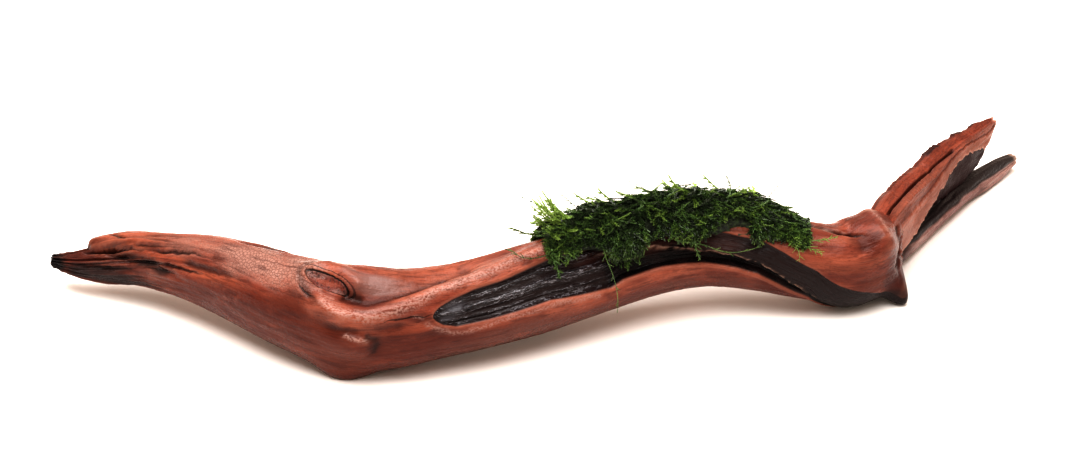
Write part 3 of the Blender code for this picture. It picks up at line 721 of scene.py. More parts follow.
def make_grain_group():
    """Wood grain that the trunk and both prongs share: broad streaks, blotches, fine lines and pores."""
    group = bpy.data.node_groups.new("driftwood_grain", "ShaderNodeTree")
    colours = {"Red": "Color", "Orange": "Color", "Deep": "Color"}
    open_group(group, "INPUT", {"Grain": "Vector", **colours, "Fibres": "Float", "Blotches": "Float"})
    open_group(group, "OUTPUT", {"Colour": "Color", "Shine": "Float", "Height": "Float"})
    given = wires(group, group.nodes.new("NodeGroupInput").outputs)
    streaks = speckle(given["Grain"], 0.12, 0.3, across=0.6)
    blotches = speckle(given["Grain"], 0.5, 0.14, 4)
    fibres = speckle(given["Grain"], 0.06, 0.9, 4)
    pores = speckle(given["Grain"], 0.35, 1.9, 2)
    pebbles = speckle(given["Grain"], 0.8, 1.3, 2)
    lines = ranged(abs(fibres - 0.5), 0, 0.03, 1, 0) * given["Fibres"]
    lines = lines.sum("MAXIMUM", ranged(pores, 0.57, 0.7) * given["Fibres"])
    layers = (ranged(blotches, 0.48, 0.7) * given["Blotches"], given["Deep"]), (lines, given["Deep"])
    colour = layered(mixed(ranged(streaks, 0.4, 0.62), given["Red"], given["Orange"]), layers)
    height = fibres * 0.5 + pores * -0.35 + pebbles * 0.6
    outputs = {"Colour": colour, "Shine": ranged(blotches, 0.35, 0.65), "Height": height}
    feed(group, group.nodes.new("NodeGroupOutput"), outputs)
    return group


def grained(grain, red, orange, deep, fibres, blotches):
    """The grain group placed in a material, with that finish's own colours."""
    made = grain.tree.nodes.new("ShaderNodeGroup")
    made.node_tree = grain_group
    inputs = {"Grain": grain, "Red": red, "Orange": orange, "Deep": deep}
    feed(grain.tree, made, {**inputs, "Fibres": fibres, "Blotches": blotches})
    return wires(grain.tree, made.outputs)


grain_group = make_grain_group()


def make_wood_look():
    """Soaked red wood, black in its rotten groove, pale where torn, with painted shade and highlights."""
    look, shader, mask = new_look("soaked_red_wood")
    grain, bed = mask("grain", "Vector"), mask("groove_grain", "Vector")
    wood = grained(grain, (0.17, 0.045, 0.027), (0.25, 0.084, 0.051), (0.05, 0.011, 0.0075), 0.5, 0.4)
    dark_red = (0.045, 0.0095, 0.0065)
    speckles, mottle = speckle(grain, 0.7, 2.6, 2), speckle(grain, 0.5, 0.25, 5)
    weather = ranged(speckle(grain, 0.13, 0.8, 4), 0.5, 0.66, 0, 0.5) * mask("streaky")
    inputs = {"Vector": grain, "Scale": 1.05}
    flakes = add(grain.tree, "ShaderNodeTexVoronoi", inputs, feature="DISTANCE_TO_EDGE")
    crazed = ranged(flakes, 0, 0.14, 0.5, 0) * mask("tan")

    knot, ring = mask("knot"), mask("ring")
    inside = ranged(knot, 0.9, 1, 1, 0)
    plug = mixed(ranged(wood["Shine"], 0.3, 0.6), (0.15, 0.075, 0.064), (0.12, 0.03, 0.02))
    specks = ranged(speckles, 0.5, 0.62, 0, 0.8)
    plug = layered(plug, ((specks, (0.025, 0.009, 0.008)), (mask("orange") * 0.8, (0.2, 0.055, 0.03))))
    lines = near(knot, 1.02, 0.07) * ranged(ring, 0, 1, 0.55, 1)
    lines = lines.sum("MAXIMUM", near(knot, 1.33, 0.07) * ranged(ring, 0.5, 1, 0, 0.6))
    # painted shade along the hair cracks; the rings above are the knot's own dark wood
    lines = lines.sum("MAXIMUM", near(mask("crack"), 0, 0.2) * 0.8)

    rot = ranged(mask("rot"), -0.1, 0.25)
    ripples, glint_speckle = speckle(bed, 0.16, 1, 3), speckle(bed, 0.6, 2.2, 2)
    rotten = mixed(ranged(ripples, 0.45, 0.6), (0.004, 0.0028, 0.003), (0.012, 0.006, 0.006))
    in_groove = (
        (ranged(mask("ledge"), 0.2, 1.2, 0, 0.75), (0.018, 0.0095, 0.009)),
        (mask("umber") * 0.8, (0.05, 0.016, 0.012)),
        # painted glints: a speckled grey sheen and thin bright lines along the wet ribs
        (mask("wet_rib_glints") * ranged(glint_speckle, 0.42, 0.6), (0.02, 0.019, 0.022)),
        (near(ripples, 0.52, 0.02) * mask("wet_rib_glints"), (0.21, 0.205, 0.225)),
        # painted reflection on the groove's smooth left tip
        (mask("slate_reflection") * 0.85, (0.055, 0.052, 0.06)),
    )
    layers = (
        (mask("tan") * 0.9, (0.265, 0.15, 0.122)),
        (crazed, (0.09, 0.028, 0.018)),
        (mask("orange") * 0.85, (0.3, 0.088, 0.046)),
        # dark red wood, and painted shade on the knee
        (mask("maroon_and_shade") * 0.9, (0.05, 0.0105, 0.0075)),
        # painted shade on the lower front
        (mask("shade") * 0.78, (0.074, 0.0145, 0.008)),
        # greyish mauve: painted floor reflection on the lower front, the wood's tone behind
        (mask("mauve_and_reflection") * 0.75, (0.13, 0.056, 0.043)),
        (weather, dark_red),
        (ranged(mottle, 0.55, 0.7, 0, 0.45), (0.19, 0.05, 0.028)),
        (ranged(mottle, 0.3, 0.45, 0.45, 0), dark_red),
        (mask("torn") * ranged(wood["Shine"], 0.2, 0.7, 0, 0.4), (0.12, 0.027, 0.017)),
        # painted shade in broad valleys
        (ranged(mask("valley_shade"), 0.15, 0.9, 0, 0.45), dark_red),
        # painted shade in fine hollows, and a painted highlight on the ridges between them
        (ranged(mask("hollow"), 0.03, 0.3, 0, 0.7), (0.03, 0.008, 0.0055)),
        (ranged(mask("hollow"), -0.3, -0.06, 0.45, 0), (0.25, 0.1, 0.065)),
        # painted reflection on wet flat patches
        (mask("grey_reflection") * 0.85, (0.165, 0.095, 0.085)),
        # painted speckled highlight along the crests
        (mask("glow") * ranged(speckles, 0.36, 0.6, 0.05, 0.85), (0.3, 0.185, 0.158)),
        # painted shade in the splits and creases
        (mask("split_shade"), (0.016, 0.006, 0.0045)),
        (inside * 0.9, plug),
        # the knot's dark rings, and painted shade along the hair cracks
        (lines, (0.012, 0.005, 0.004)),
        # black char, and painted shade in a crease and the torn hollow
        (mask("char_and_shade"), (0.012, 0.008, 0.008)),
        (rot, layered(rotten, in_groove)),
        # pale torn fibres, with painted highlights along the knee's fold and shoulder
        (mask("pale"), (0.32, 0.2, 0.15)),
    )
    height = mixed(rot, wood["Height"], ripples * 2, "FLOAT") + speckles * (mask("glow") + inside)
    finish = {
        "Base Color": layered(wood["Colour"], layers),
        "Roughness": mixed(rot, ranged(wood["Shine"], 0.2, 0.8, 0.2, 0.38), 0.24, "FLOAT"),
        "Specular IOR Level": 0.16,
        "Coat Weight": (mask("wet_rib_glints") * 0.2).sum("MAXIMUM", mask("wet") * 0.35),
        "Coat Roughness": 0.13,
        "Normal": dented(height - crazed - lines, 0.7, 0.00035),
    }
    feed(grain.tree, shader, finish)
    return look


ring_x, ring_arc = even_rings(TRUNK, TRUNK_RINGS, RING_DENSITY)
fine_turns = np.linspace(-90, 270, 3000)
columns = spread(fine_turns, straight(fine_turns[1:], COLUMN_DENSITY), TRUNK_COLUMNS + 1)[:-1]
x, angle = np.meshgrid(ring_x, columns, indexing="ij")
radius, masks = carve(x, angle, np.repeat(ring_arc[:, None], TRUNK_COLUMNS, 1))
# How sunken each point is: the look paints shade into hollows and valleys, and a highlight on ridges.
masks |= {"hollow": sunken(radius, 8), "valley_shade": sunken(radius, 60)}
points = limb_points(TRUNK, x, angle, radius)
points[..., 2] = np.maximum(points[..., 2], 0)
trunk = make_limb("driftwood_trunk", points, masks, make_wood_look())
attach(trunk, "root")
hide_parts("trunk")

# The upper prong is the torn slab that rises from the back of the knee: bare salmon-orange wood in front
# with a long open slot, a ragged pale lower edge, a dark layer set back under it, and bark round its back.
# It is part of the same branch, and starts inside the knee.
# x, y, low edge of the front layer, low edge of the layer behind, high edge, thickness.
UPPER_PRONG = (
    (90.5, -16, 9, 8.3, 24.8, 8.6),
    (94.5, -8.4, 9.2, 8.3, 27, 9.4),
    (101, 4, 9.6, 8.3, 26.8, 9.4),
    (108.5, 16.5, 13.6, 8.3, 26, 9),
    (114.5, 25.5, 17.6, 8.2, 26.9, 8),
    (120, 33.5, 20.4, 7.8, 26.4, 6.6),
    (127.5, 43.5, 18.6, 8.4, 25.2, 5),
    (133.5, 51.5, 16.8, 12.6, 24.6, 3.6),
    (136.5, 56, 18.6, 18.4, 23.4, 1.8),
)
UPPER_PRONG_RINGS = 230
SLOT = {"depth": 3.4, "ends": (91, 119), "fade": 3, "offsets": (2, 1.9), "heights": (26.4, 25.2)}
BARK_LEFT = ((111.5, 117), (121.5, 125.5), (128, 132.5))  # where dark bark still clings to the top edge
SPANS = (12, 5, 4, 5, 6, 14, 5, 12, 3, 5, 9, 5, 6, 12, 9, 8)  # steps between the outline's corners


def prong_corners(low, torn_low, high, mouth, thickness, slot):
    """Corners of the slab's outline across the grain: front offset, height, bare, dark and pale."""
    tall = high - low
    half = thickness / 2
    inside = min(1, slot)
    # The fourth number is how dark: painted shade in the slot, dark wood in the layer under the torn edge.
    return [
        (-0.1 * half, high, 0.8, 0.1, 0),
        (mouth[0], mouth[1], 1, 0, 0),
        (mouth[0] + 0.15, mouth[1] - slot, 0.6, inside, 0),
        (mouth[0] + 0.5, mouth[1] - slot, 0.6, inside, 0),
        (mouth[0] + 0.9, mouth[1] - 0.6, 0.9, 0.4 * inside, 0.1),
        (half, high - min(2.6, 0.3 * tall), 1, 0, 0.15),
        (half - 0.2, high - 0.4 * tall, 0.8, 0.25, 0),
        (half + 0.3, high - 0.46 * tall, 1, 0, 0.25),
        (half + 0.1, low + 0.8, 1, 0, 0.35),
        (0.98 * half, low, 1, 0, 1),
        (0.6 * half, low + 0.5, 0.8, 1, 0),
        (0.4 * half, low + 0.5 * (torn_low - low), 0.5, 1, 0),
        (0.1 * half, torn_low, 0.5, 1, 0),
        (-0.8 * half, torn_low + 0.06 * tall, 0, 0.6, 0),
        (-1.12 * half, torn_low + 0.5 * (high - torn_low), 0, 0.1, 0),
        (-0.7 * half, high - 0.07 * tall, 0.3, 0.3, 0),
    ]


def make_slab_look():
    """Torn wood in front, dark wood behind its torn edge, bark behind, painted shade in the slot and hollows.
    """
    look, shader, mask = new_look("torn_orange_wood")
    grain = mask("grain", "Vector")
    wood = grained(grain, (0.172, 0.04, 0.02), (0.235, 0.066, 0.036), (0.07, 0.015, 0.01), 0.8, 0.5)
    layers = (
        (1 - mask("bare"), (0.16, 0.05, 0.034)),
        # painted shade in the slot, and the dark wood behind the torn edge
        (mask("dark"), (0.021, 0.0035, 0.003)),
        # painted shade in the hollows of the torn front
        (ranged(mask("hollow"), 0.05, 0.4, 0, 0.7), (0.05, 0.014, 0.01)),
        (mask("pale"), (0.42, 0.23, 0.175)),
    )
    finish = {
        "Base Color": layered(wood["Colour"], layers),
        "Roughness": ranged(wood["Shine"], 0, 1, 0.4, 0.6),
        "Specular IOR Level": 0.16,
        "Coat Weight": ranged(wood["Shine"], 0.2, 0.8, 0.07, 0),
        "Coat Roughness": 0.22,
        "Normal": dented(wood["Height"], 0.8, 0.0005),
    }
    feed(grain.tree, shader, finish)
    return look


slab_x, slab_arc = even_rings(UPPER_PRONG, UPPER_PRONG_RINGS)
steps = [n + k / span for n, span in enumerate(SPANS) for k in range(span)]
rows, bark_left = [], []
for at in slab_x:
    low, torn_low, high, thickness = (smooth(at, UPPER_PRONG, n) for n in (2, 3, 4, 5))
    far = step(at, 94, 101)
    ragged = noise.noise((at * 0.55, 0, 3)) + 0.6 * noise.noise((at * 1.7, 2, 3))
    flaked = max(0, noise.noise((at * 0.4, 7, 1)) - 0.1) + 0.4 * noise.noise((at * 1.6, 9, 1))
    low = low + 1.1 * ragged * far
    torn_low = torn_low + 0.9 * noise.noise((at * 0.8, 4, 8)) * far
    high = high - 1.3 * flaked * far
    (start, end), fade = SLOT["ends"], SLOT["fade"]
    opens = step(at, start, start + fade) * (1 - step(at, end - fade, end))
    slot = min(SLOT["depth"], 0.5 * thickness) * opens
    mouth = (
        min(np.interp(at, SLOT["ends"], SLOT["offsets"]), 0.3 * thickness),
        min(np.interp(at, SLOT["ends"], SLOT["heights"]), high - 0.6),
    )
    corners = np.array(prong_corners(low, min(torn_low, low - 0.4), high, mouth, thickness, slot))
    bark_left.append(max(step(at, a, a + 0.6) * (1 - step(at, b - 1.5, b)) for a, b in BARK_LEFT))
    corners[[0, -1], 1] += 0.6 * bark_left[-1]
    corners = np.concatenate([corners, corners[:1]])
    rows.append([np.interp(steps, np.arange(len(corners)), corners[:, c]) for c in range(5)])
offset, height, bare, dark, pale = np.array(rows).transpose(1, 0, 2)
slab_arcs, slab_xs = (np.repeat(values[:, None], sum(SPANS), 1) for values in (slab_arc, slab_x))
from_top, from_back = height.max(1)[:, None] - height, offset - offset[:, :1]
slab_grain = np.stack([slab_arcs, offset, height], -1)
torn_fibres, splinters = fibrous(slab_grain, 0.06, 1.5, 4), fibrous(slab_grain, 0.09, 0.6, 8)
offset = offset + bare * (0.35 * torn_fibres + 0.18 * splinters)
height = height + (1 - bare) * 0.3 * torn_fibres
centre, front, _ = heart_line([(row[0], row[1], 0) for row in UPPER_PRONG], slab_xs)
slab = centre + front * offset[..., None]
slab[..., 2] = height
along = np.cross(np.array([0, 0, 1]), front)
tear = step(slab_arc, slab_arc[-1] - 7, slab_arc[-1])[:, None]
tear = tear * rough(slab_grain * np.array([0, 0.6, 1]), 1, 6)
slab = slab + along * (2.2 * tear)[..., None]
from_top = from_top + 0.9 * fibrous(slab_grain, 0.4, 1.2, 12)
from_back = from_back + 0.5 * fibrous(slab_grain, 0.4, 1.2, 14)
clinging = np.array(bark_left)[:, None] * (1 - step(from_top, 1, 2)) * (1 - step(from_back, -0.5, 0.3))
tip = step(slab_arc, slab_arc[-1] - 2.5, slab_arc[-1])[:, None]
slab_masks = {
    "grain": slab_grain,
    "bare": bare,
    "dark": np.maximum(dark, clinging),
    "pale": np.maximum(pale * step(slab_arc, 3, 9)[:, None], 0.8 * tip),
    "hollow": sunken(offset * (bare > 0.4), 6),
}
upper_prong = make_limb("driftwood_upper_prong", slab, slab_masks, make_slab_look(), inwards=True)
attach(upper_prong, "root")
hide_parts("upper_prong")

# The lower prong is a long splinter of the same branch that lies back along the table under the slab, black
# on top, furrowed along its grain, greyish pink where its bark is left, with a blunt pale broken tip.
# x, y, z, half thickness across, half thickness upwards.
LOWER_PRONG = (
    (88, -13.5, 5.6, 3.4, 3),
    (92.7, -7.6, 4.5, 3.6, 3),
    (101.7, 4.9, 4.3, 3.6, 3.1),
    (112.5, 21.3, 4.2, 3.4, 3.3),
    (125, 40.4, 4, 3.2, 3.7),
    (135, 53.4, 3.5, 3, 3.7),
    (141, 60.9, 3.3, 2.7, 3.4),
    (146.4, 66.7, 3.5, 1.7, 2),
)
LOWER_PRONG_RINGS, LOWER_PRONG_COLUMNS = 190, 84


def make_splinter_look():
    """Black wet wood above, greyish pink bark along the side, pale wood at the broken tip."""
    look, shader, mask = new_look("black_and_grey_wood")
    grain = mask("grain", "Vector")
    wood = grained(grain, (0.23, 0.12, 0.105), (0.33, 0.2, 0.175), (0.07, 0.028, 0.025), 0.5, 0.6)
    layers = (
        (mask("black"), (0.014, 0.007, 0.007)),
        # painted shade in the sunken furrows
        (ranged(mask("hollow"), 0.03, 0.2, 0, 0.7), (0.02, 0.01, 0.01)),
        (mask("pale"), (0.42, 0.29, 0.23)),
    )
    finish = {
        "Base Color": layered(wood["Colour"], layers),
        "Roughness": ranged(wood["Shine"], 0, 1, 0.35, 0.6),
        "Specular IOR Level": 0.25,
        "Coat Weight": 0.07,
        "Coat Roughness": 0.25,
        "Normal": dented(wood["Height"], 0.8, 0.0004),
    }
    feed(grain.tree, shader, finish)
    return look


low_x, low_arc = even_rings(LOWER_PRONG, LOWER_PRONG_RINGS)
columns = np.arange(LOWER_PRONG_COLUMNS) * 360 / LOWER_PRONG_COLUMNS - 90
x, angle = np.meshgrid(low_x, columns, indexing="ij")
low_grain = grain_of(np.repeat(low_arc[:, None], LOWER_PRONG_COLUMNS, 1), angle, 3.4)
radius = limb_round(LOWER_PRONG, x, angle) * (1 + 0.07 * np.cos(np.radians(3 * angle) + 0.2 * x))
radius = radius + 0.45 * fibrous(low_grain, 0.05, 1.1, 2) + 0.15 * fibrous(low_grain, 0.12, 0.5, 5)
points = limb_points(LOWER_PRONG, x, angle, radius)
_, front, up = heart_line(LOWER_PRONG, x)
end = step(low_arc, low_arc[-1] - 3, low_arc[-1])[:, None]
points = points + np.cross(up, front) * (1.2 * end * fibrous(low_grain, 0, 1, 7))[..., None]
points[..., 2] = np.maximum(points[..., 2], 0)
edge = 24 + 14 * rough(low_grain * np.array([0.15, 0, 0]), 1, 1)
at_back = turn(angle, 190)
black = step(turn(angle, edge), -8, 8) * (1 - step(at_back, -20, 20) * (at_back > 0))
low_masks = {
    "grain": low_grain,
    "black": np.maximum(black, 1 - step(x, 95, 108)),
    "pale": 0.7 * end,
    "hollow": sunken(radius, 5),
}
lower_prong = make_limb("driftwood_lower_prong", points, low_masks, make_splinter_look())
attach(lower_prong, "root")
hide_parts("lower_prong")

# The moss is Christmas moss tied to the wood until it held on by itself: a dense dark cushion of old growth
# over the top of the arch, under its own fronds. The cushion below is that old growth, painted nearly black
# for the shade of the fronds; it follows the trunk.
# x, angle of its front edge, of its back edge, and thickness out to the fronds' tips.
MOSS = (
    (-7.5, 88, 122, 0.9), (-4.5, 70, 140, 1.9), (-0.5, 56, 152, 3.2), (6.5, 53, 160, 4.9),
    (11, 42, 164, 5.9), (15, 36, 166, 6.4), (18.5, 36, 166, 6.2), (23, 36, 166, 6.3), (29, 42, 166, 6.7),
    (36.5, 38, 166, 7.6), (42, 38, 165, 7), (49, 34, 162, 5.8), (55, 39, 156, 5.3), (60, 46, 138, 3.8),
    (65, 46, 104, 2.4), (69.5, 48, 70, 1.4),
)
CUSHION_RINGS, CUSHION_ACROSS = 150, 70
CUSHION_SHARE = 0.82  # of the moss's thickness
CUSHION_BACK_FROM_EDGE = 0.13  # of the moss's width, where the cushion ends and fronds alone go on
GIRTH = 15  # mm of the trunk's surface to one radian, where the moss grows
# Patches of wood that show through the moss: x, angle, half length, half width.
BARE = ((23.5, 62, 1.2, 1.2), (50.6, 59, 2.6, 1.3), (46.5, 50, 3, 1.4), (6.5, 52, 2.8, 1.2))


def moss_thickness(x, angle):
    """How thick the moss is at x and angle, out to the tips of its fronds."""
    front, back, thick = (smooth(x, MOSS, n) for n in (1, 2, 3))
    share = np.clip((angle - front) / (back - front), 0, 1)
    return thick * np.sqrt(np.clip(np.sin(np.pi * share), 0, 1))


def bareness(x, angle):
    """1 in a patch of bare wood and 0 away from it."""
    away = [np.hypot((x - at) / long, np.radians(angle - aim) * GIRTH / wide) for at, aim, long, wide in BARE]
    return 1 - step(np.min(away, axis=0), 0.8, 1.3)


def over_wood(x, angle, height):
    """Points at a height above the trunk, whose hollows the moss fills."""
    return limb_points(TRUNK, x, angle, folded_radius(x, angle, least=0) + height)


def make_cushion_look():
    """Old growth under the fronds: brown-green, painted down to nearly black for their shade."""
    look, shader, _ = new_look("old_moss_and_shade")
    tangle = speckle(add(look.node_tree, "ShaderNodeTexCoord", {}, "Object"), 1, 900, 4)
    finish = {
        "Base Color": mixed(ranged(tangle, 0.42, 0.66), (0.006, 0.01, 0.004), (0.03, 0.055, 0.012)),
        "Roughness": ranged(tangle, 0.3, 0.7, 0.75, 0.5),
        "Normal": dented(tangle, 1, 0.0006),
    }
    feed(look.node_tree, shader, finish)
    return look


cushion_x = np.linspace(MOSS[0][0] + 9.5, MOSS[-1][0] - 5, CUSHION_RINGS)
share = np.linspace(CUSHION_BACK_FROM_EDGE, 1 - 0.5 * CUSHION_BACK_FROM_EDGE, CUSHION_ACROSS)
x, share = np.meshgrid(cushion_x, share, indexing="ij")
moss_front, moss_back = smooth(x, MOSS, 1), smooth(x, MOSS, 2)
angle = moss_front + (moss_back - moss_front) * share
place = grain_of(x, angle, 16)
lumps = 0.8 * rough(place, 4, 3) + 0.5 * rough(place, 1.8, 6)
cross = (share - share.min()) / (share.max() - share.min())
ends = np.sqrt(np.sin(np.pi * np.linspace(0, 1, CUSHION_RINGS)).clip(0))[:, None]
edge = np.sqrt(np.clip(np.sin(np.pi * cross), 0, 1)) * ends
rise = (CUSHION_SHARE * moss_thickness(x, angle) + lumps) * edge - 0.2 - 6 * bareness(x, angle)
outer, inner = over_wood(x, angle, rise), over_wood(x, angle, np.minimum(rise - 0.4, -1.2))
cushion = make_limb("moss_cushion", np.concatenate([outer, inner[:, ::-1]], 1), {}, make_cushion_look())
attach(cushion, "root")
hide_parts("moss_mat")

# The fronds are what shows of the moss: stems of a few millimetres with short side branches in one plane,
# both set with overlapping leaves under a millimetre long. They lie over the cushion like thatch, hang over
# its front edge and stand up in places along the top. Every stem follows the wood that carries it.
FRONDS, LACE_STEMS, LACE_AT_LEFT = 1400, 52, 38
FROND_STEP = 0.95
LEAF_LENGTH, LEAF_WIDTH, STEM_RADIUS = 0.85, 0.5, 0.09
TWIG_ANGLE = 52
# The tips of the front fringe, where it hangs over the groove: x and angle.
FRINGE = (
    (-8.5, 78), (-5.5, 60), (-4.6, 52), (-3.5, 54), (-1.5, 54), (2.5, 56), (5.5, 64), (8.5, 54), (11, 40),
    (13, 28), (18, 18), (20.5, 28), (23, 48), (26, 48), (30, 44), (34.5, 36), (35.6, 27), (37.5, 35),
    (41.5, 46), (45, 57), (49, 68), (51, 60), (53, 44), (55.5, 33), (57.5, 42), (62, 48), (65, 46),
    (67.5, 39), (69, 40), (70, 49),
)
LEFT_END, RIGHT_END = -4.8, 69.8  # of the dense growth
# How bright the growth is along the trunk: x, on top, at the front fringe.
GROWTH = (
    (-9, 0.9, 0.7), (-2, 0.6, 0.5), (4, 0.3, 0.35), (14, 0.17, 0.3), (24, 0.13, 0.33), (34, 0.12, 0.65),
    (44, 0.15, 0.42), (54, 0.16, 0.28), (60, 0.22, 0.45), (66, 0.35, 0.6), (71, 0.5, 0.7),
)
# x where each piece of the fronds ends.
PIECES_OF_MOSS = {"moss_fronds_left": 16, "moss_fronds_middle": 40, "moss_fronds_right": 90}
draw = np.random.default_rng(23)


def frond_route(x, angle, heading, length, lift, hangs):
    """x, angle and height above the wood of each point of a stem that grows over the moss."""
    route = []
    count = max(3, round(length / FROND_STEP))
    curl = draw.normal(0, 4.5)
    left_end = LEFT_END + 2.8 * step(angle, 82, 100)
    for k in range(count + 1):
        t = k / count
        route.append((x, angle, moss_thickness(x, angle) * (0.72 + 0.25 * t) + 0.3 + lift * t * t))
        heading += curl + draw.normal(0, 6.5)
        if hangs:
            heading += 0.08 * turn(-90, heading)
        x += FROND_STEP * math.cos(math.radians(heading))
        angle += math.degrees(FROND_STEP * math.sin(math.radians(heading)) / GIRTH)
        if not left_end < x < RIGHT_END or bareness(x, angle) > 0.3:
            break
        if angle < straight(x, FRINGE) + draw.normal(0, 2):
            break
    return route


def growth_at(x, angle):
    """How bright green the moss is there, from 0 to 1."""
    top, fringe = straight(x, GROWTH, 1), straight(x, GROWTH, 2)
    return top + (fringe - top) * (1 - step(angle, 48, 78))


def with_twigs(route, tone, size, every, low, high, youth):
    """A stem and its side branches, each as points, brightness, age at its base and leaf size."""
    grown = [(route, tone, youth, size)]
    for n, k in enumerate(range(1, len(route) - 1, every)):
        t = k / (len(route) - 1)
        rise = math.radians(route[k + 1][1] - route[k - 1][1]) * GIRTH
        ahead = math.degrees(math.atan2(rise, route[k + 1][0] - route[k - 1][0]))
        side = TWIG_ANGLE if n % 2 else -TWIG_ANGLE
        reach = draw.uniform(low, high) * (1 - 0.55 * t)
        x, angle, height = route[k]
        twig = [(x, angle, height)]
        for j in (1, 2):
            bend = math.radians(ahead + side * (1 - 0.14 * j))
            x += 0.5 * reach * math.cos(bend)
            angle += math.degrees(0.5 * reach * math.sin(bend) / GIRTH)
            twig.append((x, angle, height + 0.12 * j))
        grown.append((twig, tone, youth + (1 - youth) * 0.6 * t, 0.85 * size))
    return grown


stems = {name: [] for name in PIECES_OF_MOSS}
for n in range(FRONDS):
    x = draw.uniform(LEFT_END + 2, RIGHT_END - 1.5)
    front, back = smooth(x, MOSS, 1), smooth(x, MOSS, 2)
    angle = front + (back - front) * draw.uniform(0.1, 0.97 if n % 3 else 0.4)
    fringe = straight(x, FRINGE)
    if angle < fringe + 5 or bareness(x, angle) > 0.3:
        continue
    hangs = angle < 72
    leftwards = draw.random() < step(-x, -50, -12)
    slope = draw.normal(32, 36) if n % 4 else draw.normal(80, 28)
    heading = (180 + slope if leftwards else -slope) * (1 if angle < 112 else -1)
    length, lift = draw.uniform(8, 15), draw.uniform(-0.2, 0.8)
    tone = min(1, max(0, growth_at(x, angle) + draw.normal(0, 0.3)))
    if draw.random() < 0.07 and angle > 85:
        lift, length, tone = draw.uniform(1.2, 2.4), draw.uniform(4, 7), draw.uniform(0.6, 1)
    if x < 5 and 92 < angle < 122 and n % 2:
        lift, length, tone = draw.uniform(1, 4), draw.uniform(5, 8), 1.15
    if hangs:
        length = min(length, max(1.5, math.radians(angle - fringe) * GIRTH + draw.normal(0.2, 0.6)))
    route = frond_route(x, angle, heading, length, lift, hangs)
    if len(route) > 2:
        piece = next(name for name, end in PIECES_OF_MOSS.items() if x < end)
        youth = 0.7 if x < 1 and angle > 86 else 0.15
        stems[piece] += with_twigs(route, tone, draw.uniform(0.9, 1.4), 3, 0.9, 1.9, youth)

lace = []
for n in range(LACE_STEMS):
    at_left = n < LACE_AT_LEFT
    x, angle = draw.uniform(*(-4.5, 8) if at_left else (12, 62)), draw.uniform(98, 118)
    heading, length = 180 + draw.normal(0, 35), draw.uniform(4, 8)
    route = frond_route(x, angle, heading, length, draw.uniform(*(4, 9) if at_left else (1.5, 4.5)), False)
    if len(route) > 3:
        lace += with_twigs(route, 1.6, 1, 1, 1.2, 2.8, 0.6)


def stem_mesh(name, stems):
    """Stems as lines of points, with their outward direction, brightness, age and leaf size."""
    x, angle, height = np.array([p for points, *_ in stems for p in points]).T
    edges, bright, young, leaf = [], [], [], []
    for points, tone, youth, size in stems:
        start, share = len(bright), np.linspace(0, 1, len(points))
        edges += [(start + k, start + k + 1) for k in range(len(points) - 1)]
        bright += [tone] * len(points)
        young += (youth + (1 - youth) * share).tolist()
        leaf += (size * (1 - 0.45 * share)).tolist()
    mesh = bpy.data.meshes.new(name)
    mesh.from_pydata((over_wood(x, angle, height) * MM).tolist(), edges, [])
    _, front, up = heart_line(TRUNK, x)
    c, s = cos_sin(angle)
    outward = front * c[:, None] + up * s[:, None]
    for key, values in (("bright", bright), ("young", young), ("leaf", leaf), ("outward", outward)):
        store(mesh, key, values)
    return mesh


def make_leaf_whorl():
    """Three leaves round a stem that runs along Z: one to each side and one outwards along Y."""
    verts, faces = [], []
    for turned, lean in ((0, 0.85), (180, 0.85), (90, 0.6)):
        out = Vector((math.cos(math.radians(turned)), math.sin(math.radians(turned)), 0))
        reach = (out * math.sin(lean) + Vector((0, 0, 1)) * math.cos(lean)) * LEAF_LENGTH
        broad = Vector((-out.y, out.x, 0)) * (LEAF_WIDTH / 2)
        middle, fold, start = reach * 0.42, out * 0.06, len(verts)
        verts += [out * 0.02, middle + broad + fold, reach, middle - broad + fold]
        faces.append((start, start + 1, start + 2, start + 3))
    mesh = bpy.data.meshes.new("leaf_whorl")
    mesh.from_pydata([v * MM for v in verts], [], faces)
    return set_down("leaf_whorl", mesh)


